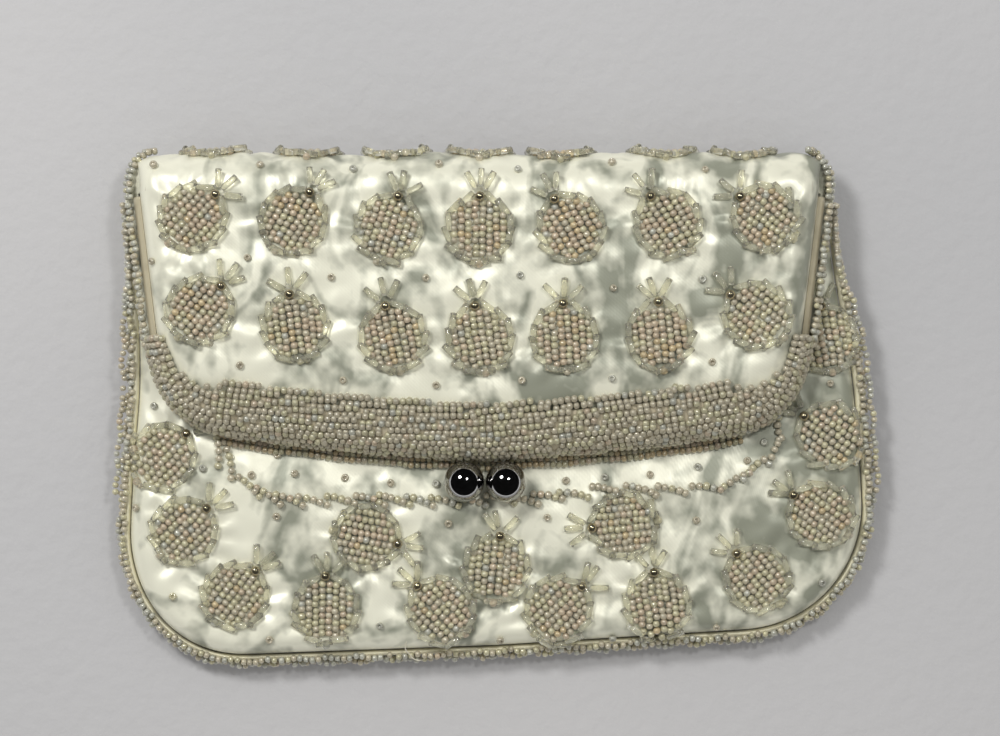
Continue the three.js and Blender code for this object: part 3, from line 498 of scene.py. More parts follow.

# Lining cloth inside the satin, and a strip of it round the fold.
lining, shader, add, links = new_material("lining_cloth", (0.66, 0.62, 0.5), 0.6)
shader.inputs["Sheen Weight"].default_value = 0.15
where = add("TexCoord")
warp = add("TexWave", Vector=where.outputs["Object"], Scale=260.0, Distortion=0.4)
weft = add("TexWave", Vector=where.outputs["Object"], Scale=260.0, bands_direction="Y")
threads = add("Math", operation="ADD", in_0=warp.outputs["Fac"], in_1=weft.outputs["Fac"])
bumped(shader, add, links, threads.outputs[0], 0.3, 0.0001)
for name in ("flap_lining", "back_lining", "front_lining"):
    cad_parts[name].material_slots[0].material = lining


def inside_fold(u, v):
    angle = math.pi / 2 - math.pi * v
    radius = fold_radius - 1.45
    reach = radius - 1.4 * np.abs(2 * u - 1) ** 12
    return in_place(
        (u - 0.5) * 196, hinge_y + 0.15 + reach * np.cos(angle), hinge_z + radius * np.sin(angle))


fold_lining = cloth("fold_lining_strip", lining, np.linspace(0, 1, 61), np.linspace(0, 1, 31),
                    inside_fold, (0.19, 0.03), 0.0005)
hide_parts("fold_lining")
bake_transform(fold_lining)

# Gathered ends of the fold, tucked in beside the ears of the frame.
for name, side in (("left", -1), ("right", 1)):
    def gathered(u, v):
        angle = math.pi * (v - 0.5)
        reach = 8.8 * u
        high = 13.2 + 2.9 * u * np.sin(angle)
        deep = hinge_y + reach * np.cos(angle) - 4 * (1 - u) ** 2
        rolled_in = rim_half * (1.018 - 0.018 * np.sin(angle)) - 0.5
        out = rolled_in + 1.7 * (1 - u**4) + 0.25 * u * (1 - u) * 4 * np.sin(17 * angle)
        return in_place(side * out, deep, high)
    gusset = cloth(name + "_fold_end", satin, np.linspace(0, 1, 21)[::side], np.linspace(0, 1, 61),
                   gathered, (0.012, 0.03), 0.0005)
    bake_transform(gusset)

# Frame: two plated steel channels that hold the rims of flap and front, with ears and rivets.
steel, shader, add, links = new_material("plated_steel", (0.4, 0.39, 0.37), 0.32)
shader.inputs["Metallic"].default_value = 1.0
where = add("TexCoord")
brushed = add("TexNoise", Vector=where.outputs["Object"], Scale=900.0, Detail=2.0)
tarnish = add("TexNoise", Vector=where.outputs["Object"], Scale=60.0, Detail=4.0)
two_toned(shader, add, links, tarnish.outputs["Fac"],
          0.35, (0.25, 0.2, 0.15), 0.55, (0.42, 0.41, 0.39))
bumped(shader, add, links, brushed.outputs["Fac"], 0.15, 0.0001)
for name in ("upper_frame_arm", "lower_frame_arm", "left_hinge_rivet", "right_hinge_rivet"):
    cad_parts[name].material_slots[0].material = steel

# Clasp: two dark polished balls on bent straps, one from each arm, that snap past each other.
chrome, shader, add, links = new_material("dark_chrome", (0.42, 0.415, 0.41), 0.05)
shader.inputs["Metallic"].default_value = 1.0
where = add("TexCoord")
wiped = add("TexNoise", Vector=where.outputs["Object"], Scale=240.0, Detail=3.0)
gloss = add("MapRange", Value=wiped.outputs["Fac"])
gloss.inputs["To Min"].default_value = 0.02
gloss.inputs["To Max"].default_value = 0.09
links.new(gloss.outputs["Result"], shader.inputs["Roughness"])
clasp_x, half_apart = 1.7, 6.15
for side, body, across, root_z in [
    ("left", "flap", clasp_x - half_apart, 15.45), ("right", "pouch", clasp_x + half_apart, 13.2),
]:
    middle = Vector(in_place(across, -22.5, 19.7).tolist())
    root = Vector(in_place(across, -14.6, root_z).tolist())
    bm = bmesh.new()
    ball = bmesh.ops.create_uvsphere(bm, u_segments=40, v_segments=24, radius=0.006)
    bmesh.ops.translate(bm, verts=ball["verts"], vec=middle)
    strap = bmesh.ops.create_cone(
        bm, cap_ends=True, segments=16, radius1=0.0013, radius2=0.0011,
        depth=(middle - root).length)
    bmesh.ops.rotate(
        bm, verts=strap["verts"], cent=(0, 0, 0),
        matrix=(middle - root).to_track_quat("Z", "X").to_matrix())
    bmesh.ops.translate(bm, verts=strap["verts"], vec=(middle + root) / 2)
    heel = bmesh.ops.create_cube(bm, size=1)
    bmesh.ops.scale(bm, verts=heel["verts"], vec=(0.0026, 0.0032, 0.0011))
    bmesh.ops.translate(bm, verts=heel["verts"], vec=root + Vector((0, 0.0002, 0)))
    bmesh.ops.bevel(
        bm, geom=list({e for v in heel["verts"] for e in v.link_edges}), offset=0.0003,
        affect="EDGES", segments=2, profile=0.5, material=-1)
    for face in bm.faces:
        face.smooth = len(face.verts) < 5
    clasp = placed(side + "_ball", bm)
    clasp.data.materials.append(chrome)
    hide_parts(side + "_clasp_ball")
    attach(clasp, body)

# Berries: each is a field of pearly seed beads in eight strings, ringed by clear bugle beads,
# with a dark gold pearl at its stem, three bugle leaves beyond it and one bead at its tail.


def turned(name, profile, sides):
    """One bead, turned from pairs of radius and height that start and end on its axis."""
    bm = bmesh.new()
    corners = [bm.verts.new((radius / 1000, 0, height / 1000)) for radius, height in profile]
    edges = [bm.edges.new(pair) for pair in zip(corners[:-1], corners[1:])]
    bmesh.ops.spin(
        bm, geom=corners + edges, cent=(0, 0, 0), axis=(0, 0, 1), angle=2 * math.pi, steps=sides,
        use_merge=True)
    bmesh.ops.remove_doubles(bm, verts=bm.verts, dist=1e-7)
    bmesh.ops.recalc_face_normals(bm, faces=bm.faces)
    mesh = bpy.data.meshes.new(name)
    bm.to_mesh(mesh)
    bm.free()
    return mesh


seed = turned(
    "seed_bead",
    [(0, 0.7), (0.36, 0.86), (0.86, 0.6), (1.04, 0), (0.86, -0.6), (0.36, -0.86), (0, -0.7)], 8)
bugle = turned(
    "bugle_bead",
    [(0, 2.5), (0.5, 2.8), (0.94, 2.66), (0.94, -2.66), (0.5, -2.8), (0, -2.5)], 8)
pearl = turned(
    "stem_pearl",
    [(0, 1.35), (0.6, 1.42), (1.2, 0.95), (1.52, 0), (1.2, -0.95), (0.6, -1.42), (0, -1.35)], 10)
stood = turned(
    "standing_bead",
    [(0, -0.1), (0.42, 0.1), (0.5, 0.6), (0.85, 0.62), (1.15, 0.1), (1.0, -0.5), (0, -0.6)], 10)


def bead_finish(name, roughness, coat, metallic, clear=0.0):
    """Glass beads: the colour of each bead is in its tint, with a lustre in the coat."""
    material, shader, add, links = new_material(name, (0.5, 0.45, 0.4), roughness)
    tint = add("Attribute", attribute_name="tint")
    where = add("TexCoord")
    glaze = add("TexNoise", Vector=where.outputs["Object"], Scale=1400.0, Detail=1.0)
    tone = add("MapRange", Value=glaze.outputs["Fac"])
    tone.inputs["From Min"].default_value = 0.3
    tone.inputs["From Max"].default_value = 0.7
    tone.inputs["To Min"].default_value = 0.92
    tone.inputs["To Max"].default_value = 1.06
    mixed = add("VectorMath", operation="SCALE", in_0=tint.outputs["Color"])
    links.new(tone.outputs["Result"], mixed.inputs["Scale"])
    links.new(mixed.outputs["Vector"], shader.inputs["Base Color"])
    shader.inputs["Coat Weight"].default_value = coat
    shader.inputs["Coat Roughness"].default_value = 0.05
    shader.inputs["Metallic"].default_value = metallic
    shader.inputs["Transmission Weight"].default_value = clear
    shader.inputs["IOR"].default_value = 1.52
    shader.inputs["Subsurface Weight"].default_value = 0.4 if clear == 0 else 0.0
    shader.inputs["Subsurface Scale"].default_value = 0.0012
    shader.inputs["Subsurface Radius"].default_value = (1.0, 0.95, 0.8)
    return material


seed_glass = bead_finish("pearly_seed_glass", 0.3, 1.0, 0.25)
bugle_glass = bead_finish("clear_bugle_glass", 0.06, 0.0, 0.0, 0.85)
pearl_coat = bead_finish("gold_pearl_coat", 0.14, 0.8, 0.9)


def sewn(name, bead, beads, finish):
    """One mesh of like beads. Each is its place, the way its hole runs, up, its size and tint."""
    place, way, up, size, tint = [np.concatenate([part[k] for part in beads]) for k in range(5)]
    way = way / np.linalg.norm(way, axis=1, keepdims=True)
    side = np.cross(up, way)
    side /= np.linalg.norm(side, axis=1, keepdims=True)
    up = np.cross(way, side)
    corners, loops, faces = len(bead.vertices), len(bead.loops), len(bead.polygons)
    own = np.empty(corners * 3)
    bead.vertices.foreach_get("co", own)
    own = own.reshape(-1, 3)
    around, starts = np.empty(loops, int), np.empty(faces, int)
    bead.loops.foreach_get("vertex_index", around)
    bead.polygons.foreach_get("loop_start", starts)
    count = len(place)
    axes = np.stack([side, up, way], 1) * size[:, None, None]
    points = in_place(*place.T)[:, None] + np.einsum("vk,nkc->nvc", own, axes)
    mesh = bpy.data.meshes.new(name)
    mesh.vertices.add(count * corners)
    mesh.vertices.foreach_set("co", points.astype(np.float32).ravel())
    mesh.loops.add(count * loops)
    mesh.loops.foreach_set(
        "vertex_index", (around + np.arange(count)[:, None] * corners).astype(np.int32).ravel())
    mesh.polygons.add(count * faces)
    mesh.polygons.foreach_set(
        "loop_start", (starts + np.arange(count)[:, None] * loops).astype(np.int32).ravel())
    mesh.polygons.foreach_set("use_smooth", np.ones(count * faces, bool))
    colors = mesh.attributes.new("tint", "FLOAT_COLOR", "POINT")
    full = np.concatenate([tint, np.ones((count, 1))], 1)
    colors.data.foreach_set("color", np.repeat(full, corners, 0).astype(np.float32).ravel())
    mesh.update(calc_edges=True)
    piece = placed(name, mesh)
    piece.data.materials.append(finish)
    return piece


def tinted(count, mix, shade=1.0):
    """Tints of a lot of beads: mauve, warm grey, tan, pink and cool grey in a mix."""
    kinds = np.array([[0.55, 0.5, 0.375], [0.58, 0.545, 0.37], [0.595, 0.485, 0.3],
                      [0.58, 0.485, 0.355], [0.51, 0.505, 0.425]])
    picked = kinds[scatter.choice(len(kinds), count, p=mix)]
    return picked * shade * scatter.uniform(0.9, 1.1, (count, 1))


def on_ground(height, x, y, step=0.3):
    """Places on cloth that is given by its height, and the way up from it there."""
    slope_x = (height(x + step, y) - height(x - step, y)) / (2 * step)
    slope_y = (height(x, y + step) - height(x, y - step)) / (2 * step)
    up = np.stack([-slope_x, -slope_y, np.ones_like(x)], -1)
    up /= np.linalg.norm(up, axis=-1, keepdims=True)
    return np.stack([x, y, height(x, y)], -1), up


def flap_ground(x, y):
    def height(x, y):
        edge = np.clip(from_line(rim, x, y) / 7, 0, 1)
        return flap_height(x, y) + edge * puckers(x, y, round_fold, 2.0)
    return on_ground(height, x, y)


def front_ground(x, y):
    def height(x, y):
        edge = np.clip(from_line(seam, x, y) / 8, 0, 1)
        edge = edge * np.clip((from_line(rim, x, y) - 1) / 6, 0, 1)
        return front_height(x, y) + edge * puckers(x, y, front_berries, 57.0)
    return on_ground(height, x, y)


def fold_ground(x, run):
    """Places round the fold, by the length that the satin runs from the hinge line."""
    angle = math.pi / 2 - (run - hinge_y) / fold_radius
    radius = fold_radius + puckers(x, run, round_fold, 2.0)
    up = np.stack([np.zeros_like(x), np.cos(angle), np.sin(angle)], -1)
    return np.stack([x, hinge_y + radius * up[..., 1], hinge_z + radius * up[..., 2]], -1), up


def back_ground(x, y):
    """The back lies on its beads, so they all reach down to the table."""
    up = np.broadcast_to([0.0, 0.0, -1.0], (*np.shape(x), 3))
    return np.stack([x, y, np.full_like(x, 2.25)], -1), up


def laid(ground, spot, a, b, way_a, way_b, lift, sizes, tint):
    """Beads at places a across and b along a berry that stands at a spot, turned to its stem."""
    at_x, at_y, turn = spot
    cos, sin = math.cos(math.radians(turn)), math.sin(math.radians(turn))

    def plan(p, q):
        return ground(at_x + p * cos - q * sin, at_y + p * sin + q * cos)

    place, up = plan(a, b)
    ahead, _ = plan(a + 0.5 * way_a, b + 0.5 * way_b)
    behind, _ = plan(a - 0.5 * way_a, b - 0.5 * way_b)
    return place + up * lift, ahead - behind, up, sizes, tint


def berry_beads(ground, spot, warmth):
    """The seed beads, bugles and pearl of one berry."""
    a, b = [], []
    columns, apart, pitch = 8, 2.06, 1.84
    for column in range(columns):
        across = (column - (columns - 1) / 2) * apart
        half = 8.7 * math.sqrt(max(1 - (across / 8.6) ** 2, 0))
        count = max(round(2 * half / pitch), 3)
        a += list(across + scatter.normal(0, 0.13, count))
        b += list(half - 0.9 - pitch * np.arange(count) + scatter.normal(0, 0.09, count))
    tail_a, tail_b = 0.1, -10.3
    a.append(tail_a)
    b.append(tail_b)
    a, b = np.array(a), np.array(b)
    ones = np.ones(len(a))
    mix = np.array([0.35, 0.4 - 0.2 * warmth, 0.02 + 0.2 * warmth, 0.16 + 0.4 * warmth, 0.04])
    mix /= mix.sum()
    seeds = laid(ground, spot, a, b, scatter.normal(0, 0.2, len(a)), ones, 0.78,
                 scatter.uniform(1.06, 1.16, len(a)), tinted(len(a), mix, 1.0))
    around = np.radians(90 + np.linspace(24, 336, 13)) + scatter.normal(0, 0.03, 13)
    ring_a, ring_b = 9.3 * np.cos(around), 0.1 + 9.7 * np.sin(around)
    lean = around + math.pi / 2 + scatter.normal(0.2, 0.14, 13) * np.where(ring_a > 0, -1, 1)
    leaf = np.radians(90 + np.array([-40, 0, 39]) + scatter.normal(0, 6, 3))
    leaf_a, leaf_b = 4.9 * np.cos(leaf) + 0.2, 10.1 + 4.9 * np.sin(leaf)
    a, b = np.concatenate([ring_a, leaf_a]), np.concatenate([ring_b, leaf_b])
    lean = np.concatenate([lean, leaf])
    tint = np.tile([0.88, 0.865, 0.74], (16, 1)) * scatter.uniform(0.9, 1.1, (16, 1))
    bugles = laid(ground, spot, a, b, np.cos(lean), np.sin(lean),
                  1.15 + scatter.uniform(0, 0.5, 16)[:, None], scatter.uniform(0.92, 1.1, 16), tint)
    gold = np.array([[0.46, 0.4, 0.26]]) * scatter.uniform(0.8, 1.2)
    stem = laid(ground, spot, np.array([0.1]), np.array([10.0]), np.ones(1), np.zeros(1), 1.7,
                np.ones(1), gold)
    return seeds, bugles, stem


def outside_rim(beads, gap):
    """Leaves out what would lie under the flap and its frame."""
    x, y = beads[0][:, 0], beads[0][:, 1]
    within = np.zeros(len(x), bool)
    for (ax, ay), (bx, by) in zip(rim[:-1], rim[1:]):
        crosses = (ay > y) != (by > y)
        within ^= crosses & (x < (bx - ax) * (y - ay) / (by - ay + 1e-9) + ax)
    keep = ~within & (from_line(rim, x, y) > gap)
    return tuple(part[keep] for part in beads)


sets = {
    "flap": (flap_ground, flap_berries, "flap", [f"flap_berry_{k}" for k in range(1, 15)]),
    "front": (front_ground, front_berries, "pouch", [f"front_berry_{k}" for k in range(1, 15)]),
    "fold": (fold_ground, round_fold[len(flap_berries):], None, []),
    "back": (back_ground, back_places, "pouch", []),
}
for where_on, (ground, spots, body, stood_for) in sets.items():
    warmest = 0.25 if where_on == "front" else 1.0
    lots = [berry_beads(ground, spot, (k * 0.37 + 0.3) % 1.0 * warmest)
            for k, spot in enumerate(spots)]
    for number, (kind, bead, finish) in enumerate([
        ("seeds", seed, seed_glass), ("bugles", bugle, bugle_glass), ("pearls", pearl, pearl_coat),
    ]):
        beads = [lot[number] for lot in lots]
        if where_on == "front":
            beads = [outside_rim(lot, 3.4) for lot in beads]
        piece = sewn(f"{where_on}_berry_{kind}", bead, beads, finish)
        if body:
            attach(piece, body)
        else:
            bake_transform(piece)
        if kind == "seeds" and stood_for:
            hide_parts(*stood_for)

# Bead bands. The upper one is sewn in wavy rows over the rim of the flap and its frame, deep in
# the middle and thin at the ears. The lower one trims the mouth under the balls, and its darkened
# tan tint is painted shade from the upper band and the balls.
band_tip = np.argmax(rim[:, 1] < 21) / (len(rim) - 1)
slope = np.radians(np.linspace(0, 90, 15))


def band_section(share):
    """Outline of the upper band across the rim: distances out from it, and heights."""
    centre = np.clip(np.abs(share - 0.5) / (0.5 - band_tip), 0, 1)
    depth = 13.2 * (1 - 0.82 * smooth(centre, 0.62, 1))
    inner = beside(rim, share, -depth)
    top = flap_height(inner[..., 0], inner[..., 1]) + 2.7
    cos, sin = np.cos(slope)[:, None] ** 0.85, np.sin(slope)[:, None] ** 0.85
    return -depth + (depth + 3.8) * cos, 14.9 + (top - 14.9) * sin


def strung(line, up, pitch, mix, shade=1.0, size=1.0):
    """Beads close together on a thread that follows a line of points."""
    run = np.concatenate([[0], np.cumsum(np.linalg.norm(np.diff(line, axis=0), axis=1))])
    count = max(int(run[-1] / pitch), 1)
    at = (np.arange(count) + 0.5) * run[-1] / count + scatter.normal(0, 0.07, count)

    def point(distance):
        return np.stack([np.interp(distance, run, line[:, k]) for k in range(3)], 1)

    ups = np.stack([np.interp(at, run, up[:, k]) for k in range(3)], 1)
    place = point(at) + scatter.normal(0, 0.06, (count, 3))
    way = point(at + 0.4) - point(at - 0.4) + scatter.normal(0, 0.05, (count, 3))
    return place, way, ups, size * scatter.uniform(0.92, 1.05, count), tinted(count, mix, shade)


def pieces_of(line, up, keep, pitch, mix, shade=1.0, size=1.0):
    """Strings along the stretches of a line that are kept."""
    edges = np.flatnonzero(np.diff(np.concatenate([[0], keep.astype(int), [0]])))
    strings = []
    for start, end in zip(edges[::2], edges[1::2]):
        if end - start > 3:
            strings.append(strung(line[start:end], up[start:end], pitch, mix, shade, size))
    return strings


grey_mix, blue_mix, painted_shade_tan_mix = [.6, .3, 0, .04, .06], [.35, .1, 0, 0, .55], [.1, .3, .4, .2, 0]
share = np.linspace(band_tip, 1 - band_tip, 500)
outs, heights = band_section(share)
lengths = np.cumsum(np.hypot(np.diff(outs, axis=0), np.diff(heights, axis=0)), axis=0)
lengths = np.concatenate([np.zeros((1, len(share))), lengths])
upper_strings = []
for row in range(15):
    drift = 0.3 * wavy(share * 50, np.full_like(share, row * 2.0), 1.0, 5)
    string = (share * 19 + row * 0.37 + 0.5 * wavy(share * 9, share * 0 + row, 1.0, 2)) % 1.0
    reach = 0.3 + 1.77 * row + drift + 0.9 * string
    out, height, flatness = np.empty((3, len(share)))
    for k in range(len(share)):
        out[k] = np.interp(reach[k], lengths[:, k], outs[:, k])
        height[k] = np.interp(reach[k], lengths[:, k], heights[:, k])
        flatness[k] = np.interp(reach[k] + 0.5, lengths[:, k], heights[:, k]) - height[k]
    flat = beside(rim, share, out)
    across = flat - beside(rim, share, out - 1)
    rise = np.clip(flatness * 2, 0, 1)
    up = np.concatenate([across * rise[:, None], np.sqrt(1.02 - rise**2)[:, None]], 1)
    up /= np.linalg.norm(up, axis=1, keepdims=True)
    line = np.concatenate([flat, height[:, None]], 1) - up * (0.95 - 0.5 * string[:, None])
    room = lengths[-1] - reach + 0.9 * wavy(share * 34, np.full_like(share, row * 1.0), 1.0, 8)
    whole = wavy(share * 55, np.full_like(share, row * 3.0), 1.0, 12) < 0.6
    kept = (room > -0.2) & (whole | (row < 4)) & (string > 0.04)
    upper_strings += pieces_of(line, up, kept, 1.83, grey_mix, 0.86, 1.14)
upper_band = sewn("upper_band_beads", seed, upper_strings, seed_glass)
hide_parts("upper_bead_band")
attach(upper_band, "flap")

# The cloth under the upper band: its dark tan is painted shade in the gaps between the beads.
painted_shade_ground_cloth, shader, add, links = new_material("threaded_ground_painted_shade", (0.5, 0.44, 0.31), 0.7)
where = add("TexCoord")
stitches = add("TexNoise", Vector=where.outputs["Object"], Scale=500.0, Detail=3.0)
bumped(shader, add, links, stitches.outputs["Fac"], 0.4, 0.0003)


def band_ground(u, v):
    """The ground that the upper band is stitched to, just under its beads."""
    share = band_tip + (1 - 2 * band_tip) * u
    outs, heights = band_section(share)
    k, step = 0.9 * v * (len(slope) - 1), np.arange(len(share))
    low = np.minimum(k.astype(int), len(slope) - 2)
    part = k - low
    out = outs[low, step] * (1 - part) + outs[low + 1, step] * part - 1.0 * (1 - v)
    height = heights[low, step] * (1 - part) + heights[low + 1, step] * part - 1.0 * v - 0.2
    flat = beside(rim, share, out)
    return in_place(flat[:, 0], flat[:, 1], height)


band_strip = cloth("upper_band_ground", painted_shade_ground_cloth, np.linspace(0, 1, 181),
                   np.linspace(0, 1, 13), band_ground, (0.26, 0.02), 0.0004)
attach(band_strip, "flap")

share = np.linspace(0, 1, 600)
near_mouth = np.abs(share - 0.5) < 0.7 * (0.5 - band_tip)
lower_strings = []
# Tan beads darkened to 0.8: painted shade of the mouth under the upper band.
for out in (2.6, 4.4, 6.2):
    flat = beside(rim, share, out + 0.2 * np.sin(share * 90))
    place, up = front_ground(flat[:, 0], flat[:, 1])
    lower_strings += pieces_of(
        (place + up * 1.2)[near_mouth], up[near_mouth], near_mouth[near_mouth], 1.75, painted_shade_tan_mix, 0.8)
lower_band = sewn("lower_band_beads", seed, lower_strings, seed_glass)
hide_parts("lower_bead_band")
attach(lower_band, "pouch")

# Beaded edges. Strings of seed beads run down both sides of the flap from the fold's corners,
# and in small wavy groups all round the seam of the pouch, over a rolled binding.
size_of_group = 8.5


def grouped(share, length, size, turn):
    """Steps a string to and fro in groups of beads, as it was sewn down."""
    return size * np.abs(np.sin(share * length / size_of_group * math.pi + turn))


# The side bindings: a tan strip, darkened to brown as painted shade where the satin rolls down the
# flap's sides.
binding_cloth = satin_finish("binding_cloth", (0.58, 0.52, 0.36), (0.4, 0.35, 0.23))
trim_strings = []
for mirror in (False, True):
    share = np.linspace(0.008, band_tip + 0.01, 160)
    for out, height, turn in [(3.0, 17.7, 0.0), (3.5, 16.2, 1.3)]:
        swing = grouped(share, rim_length, 0.8, turn)
        place = 1 - share if mirror else share
        flat = beside(rim, place, out + swing)
        outward = flat - beside(rim, place, out + swing - 1)
        line = np.concatenate([flat, (height + 0.3 * swing)[:, None]], 1)
        up = np.concatenate([outward * 0.6, np.full((len(flat), 1), 0.8)], 1)
        trim_strings.append(strung(line, up, 1.85, blue_mix, 1.0))
for name, half in (("left", trim_strings[:2]), ("right", trim_strings[2:])):
    trim = sewn(name + "_flap_strings", seed, half, seed_glass)
    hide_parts(name + "_flap_beads")
    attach(trim, "flap")

# A bias strip wraps the arm of the frame at each side of the flap.
for name, mirror in (("left", 1), ("right", -1)):
    def bound(u, v):
        v = v if mirror > 0 else 1 - v
        quarters = [0, 0.25, 0.5, 0.75, 1]
        out = np.interp(v, quarters, [-0.3, 0.3, 1.0, 1.7, 2.0])
        height = np.interp(v, quarters, [19.0, 18.8, 18.2, 16.8, 15.0])
        flat = beside(rim, 0.004 + (band_tip + 0.008) * u, out)
        return in_place(flat[:, 0] * mirror, flat[:, 1], height)
    strip = cloth(name + "_side_binding", binding_cloth, np.linspace(0, 1, 61),
                  np.linspace(0, 1, 17), bound, (0.05, 0.006), 0.0004)
    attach(strip, "flap")

# Loose strings hang round the corners of the fold.
corner_strings = []
for side, end in [
    (-1, [(99, 75.3, 14.5), (96, 76.0, 12.5)]), (1, [(99, 75.3, 15.5), (97, 75.9, 19)]),
]:
    for out, deep in ((0.0, 0.0), (1.3, -1.6), (0.3, -3.4)):
        path = [(103.2, 61, 17), (104.4, 66.5, 16.6), (103.6, 72, 15.8), *end]
        line = [Vector((side * (x + out), y, z + deep)) for x, y, z in path]
        bent = np.array([tuple(p) for p in [*geometry.interpolate_bezier(*line[:4], 30), line[4]]])
        up = np.tile([side * 0.5, 0.4, 0.76], (len(bent), 1))
        corner_strings.append(strung(bent, up, 1.8, blue_mix, 1.0))
corners = sewn("fold_corner_strings", seed, corner_strings, seed_glass)
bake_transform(corners)

share = np.linspace(0.006, 0.994, 1400)
sideways = np.clip(on_line(seam, share)[:, 1] / 26 + 1.4, 0, 1)
all_round = np.ones(len(share), bool)
seam_strings = []
for out, lift, turn, size, kept in [
    (2.7, 0.0, 0.0, 1.1, all_round), (1.6, 2.7, 1.9, 0.8, all_round),
    (4.6, 0.7, 0.9, 0.9, sideways > 0.35), (2.9, -1.9, 2.6, 0.7, all_round),
]:
    swing = grouped(share, seam_length, size, turn) + 0.5 * wavy(share * 60, share * 0, 1.0, 3 + turn)
    tucked = smooth(on_line(seam, share)[:, 1], 18, 48)
    out = out + swing - tucked * (out + 0.4 * swing - 1.4)
    flat = beside(seam, share, out)
    outward = flat - beside(seam, share, out - 1)
    height = seam_height(flat[:, 1]) + lift * (1 - tucked) + 0.5 * np.sin(share * 230 + turn)
    height += 3.1 * tucked
    up = np.concatenate([outward * 0.7, np.full((len(flat), 1), 0.7)], 1)
    line = np.concatenate([flat, height[:, None]], 1)
    steps = 0.5 + 0.5 * wavy(share * 40, share * 0 + turn, 1.0, 6)
    for low, high, mix in ((0, 0.5, grey_mix), (0.5, 9, blue_mix)):
        seam_strings += pieces_of(line, up, kept & (steps >= low) & (steps < high), 1.85, mix, 1.02)
edge_strings = sewn("seam_bead_strings", seed, seam_strings, seed_glass)
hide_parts("edge_beads")
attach(edge_strings, "pouch")


def rolled(name, steps, centre, half_width, half_height, outward):
    """A closed cord of cloth or thread: an oval section carried along a line of points."""
    bm = bmesh.new()
    bmesh.ops.create_grid(bm, x_segments=steps, y_segments=14, size=0.5)
    for corner in bm.verts:
        at, turn = corner.co.x + 0.5, 2 * math.pi * (corner.co.y + 0.5)
        k = min(int(at * (len(centre) - 1) + 0.5), len(centre) - 1)
        taper = min(1, 0.15 + 60 * min(at, 1 - at))
        place = centre[k] + outward[k] * half_width * taper * math.cos(turn)
        corner.co = in_place(
            place[0], place[1], place[2] + half_height * taper * math.sin(turn)).tolist()
    bmesh.ops.remove_doubles(bm, verts=bm.verts, dist=1e-6)
    bmesh.ops.holes_fill(bm, edges=bm.edges, sides=20)
    bmesh.ops.recalc_face_normals(bm, faces=bm.faces)
    for face in bm.faces:
        face.smooth = True
    return placed(name, bm)


share = np.linspace(0.004, 0.996, 421)
flat = beside(seam, share, 1.15)
outward = flat - beside(seam, share, 0.15)
centre = np.concatenate([flat, seam_height(flat[:, 1])[:, None]], 1)
outward = np.concatenate([outward, np.zeros((len(flat), 1))], 1)
binding = rolled("rolled_binding", 420, centre, 0.95, 2.1, outward)
seam_cloth = satin_finish("seam_cloth", (0.82, 0.77, 0.56), (0.64, 0.6, 0.43))
binding.data.materials.append(seam_cloth)
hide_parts("edge_binding")
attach(binding, "pouch")

# Trim of the front: short slanted strings in an arc round the clasp, single beads between the
# berries, two specks of dirt and a loose thread at the bottom seam.
arc = np.array([
    (-78.1, -13.9), (-74.5, -17.5), (-68.5, -24.3), (-62.6, -27.0), (-56.6, -28.2), (-49.5, -28.5),
    (-41.2, -28.2), (-32.5, -28.2), (-25.1, -28.2), (-17.7, -28.5), (-10.2, -28.8), (-2.2, -28.8),
    (6.2, -28.2), (13.3, -28.5), (20.4, -27.3), (28.2, -26.7), (38.0, -25.2), (48.1, -25.2),
    (57.3, -25.2), (67.5, -24.6), (76.7, -22.2), (81.7, -19.0), (88.3, -13.6), (89.5, -5.9),
])
arc_strings = []
for k, (x, y) in enumerate(arc):
    ahead = arc[min(k + 1, len(arc) - 1)] - arc[max(k - 1, 0)]
    angle = math.atan2(ahead[1], ahead[0]) - math.radians(16 if k < 20 else -6)
    angle = math.radians((-88, -80, -44)[k]) if k < 3 else angle
    along = np.linspace(-5.4, 5.4, 9)
    bow = 0.5 * np.cos(along / 3)
    at_x = x + along * math.cos(angle) - bow * math.sin(angle)
    at_y = y + along * math.sin(angle) + bow * math.cos(angle)
    place, up = front_ground(at_x, at_y)
    arc_strings.append(strung(place + up * 1.05, up, 1.85, grey_mix, 1.05, 1.14))
arc_beads = sewn("front_arc_strings", seed, arc_strings, seed_glass)
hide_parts("front_bead_arc")
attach(arc_beads, "pouch")

single_on_flap = [
    (-95.7, 42.5), (-67.8, 43.4), (-43.2, 37.8), (-15.6, 37.5), (12.0, 38.4), (39.3, 34.6),
    (65.5, 37.2), (-70.2, 12.0), (-39.9, 7.6), (-12.6, 6.1), (12.6, 7.6), (39.0, 8.2), (68.4, 12.9),
]
single_on_fold = [
    (-95.7, 71.0), (-64.3, 70.7), (-37.0, 69.5), (-11.8, 70.7), (11.4, 69.5), (39.0, 71.6),
    (66.3, 68.9), (-90, 96), (-64, 95), (-37, 96), (-12, 95), (12, 95), (39, 96), (66, 95),
]
single_on_front = [
    (101.0, 42.7), (-97.0, -0.2), (104.6, 6.6), (-82.4, -19.0), (-67.8, -20.8), (-55.0, -20.5),
    (-60.3, -14.8), (-45.7, -14.2), (-40.1, -21.7), (-26.4, -23.2), (-12.9, -23.5), (44.3, -13.7),
    (58.0, -13.9), (70.9, -12.5), (84.9, -11.0), (79.8, -16.6), (65.2, -18.4), (50.9, -20.8),
    (37.5, -21.4), (25.8, -22.6), (-60.3, -33.0), (-9.1, -35.1), (20.2, -33.3), (64.6, -34.2),
    (-102.1, -30.6), (-91.1, -56.9), (-62.4, -69.7), (-29.6, -65.5), (6.2, -69.7), (39.8, -69.1),
    (70.6, -65.8), (101.9, -52.7),
]
single_on_back = [(x + 13.5, y - 16) for x, y, _ in back_places if abs(x + 13.5) < 90 and y > -40]
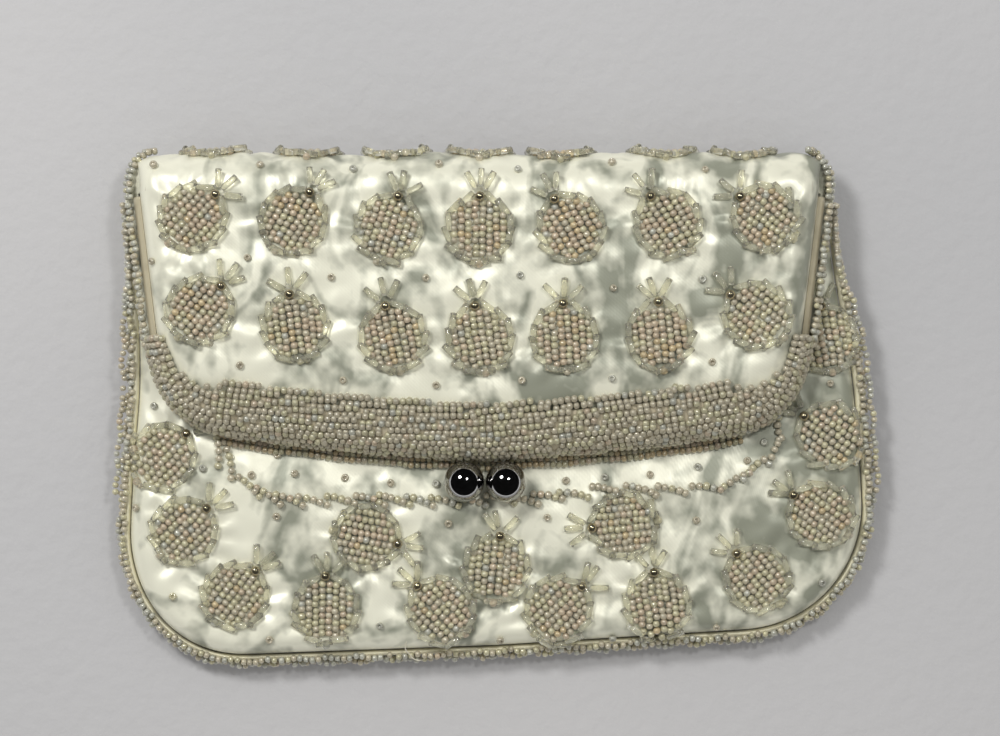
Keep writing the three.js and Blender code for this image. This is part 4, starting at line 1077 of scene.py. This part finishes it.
for name, ground, spots, body in [
    ("flap_single_beads", flap_ground, single_on_flap, "flap"),
    ("fold_single_beads", fold_ground, single_on_fold, None),
    ("front_single_beads", front_ground, single_on_front, "pouch"),
    ("back_single_beads", back_ground, single_on_back, "pouch"),
]:
    at = np.array(spots, float)
    place, up = ground(at[:, 0], at[:, 1])
    way = up + scatter.normal(0, 0.2, up.shape)
    level = np.tile([1.0, 0.02, 0.01], (len(at), 1))
    lot = (place + up * 0.75, way, level, scatter.uniform(0.95, 1.1, len(at)),
           tinted(len(at), [.6, .1, 0, 0, .3], 0.9))
    piece = sewn(name, stood, [lot], seed_glass)
    if body:
        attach(piece, body)
    else:
        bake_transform(piece)

speck_at = np.array([(80.9, -20.2), (45.2, -33.9)])
place, up = front_ground(speck_at[:, 0], speck_at[:, 1])
lot = (place + up * np.array([[0.3], [2.1]]), up, np.tile([1.0, 0, 0.02], (2, 1)),
       np.array([0.5, 0.36]), np.array([[0.25, 0.12, 0.03], [0.12, 0.05, 0.03]]))
specks = sewn("specks", stood, [lot], seed_glass)
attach(specks, "pouch")

a, b, c, d, e = [Vector(knot) for knot in (
    (-19.2, -66.9, 13.2), (-22.5, -70.8, 12.6), (-20.4, -75.3, 9.5), (-16.7, -77.8, 8.5),
    (-14.3, -73.8, 9.2))]
first = geometry.interpolate_bezier(a, b * 1.6 - a * 0.6, b * 0.4 + c * 0.6, c, 24)
second = geometry.interpolate_bezier(c, c * 1.2 - b * 0.2, d * 1.1 - e * 0.1, e, 24)
thread_line = np.array([tuple(p) for p in [*first, *second[1:]]])
thread = rolled(
    "loose_thread", 92, thread_line, 0.16, 0.16, np.tile([0.8, 0.6, 0.0], (len(thread_line), 1)))
cotton, shader, add, links = new_material("cotton_thread", (0.75, 0.71, 0.58), 0.8)
where = add("TexCoord")
fuzz = add("TexNoise", Vector=where.outputs["Object"], Scale=2600.0, Detail=2.0)
bumped(shader, add, links, fuzz.outputs["Fac"], 0.4, 0.0001)
thread.data.materials.append(cotton)
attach(thread, "pouch")
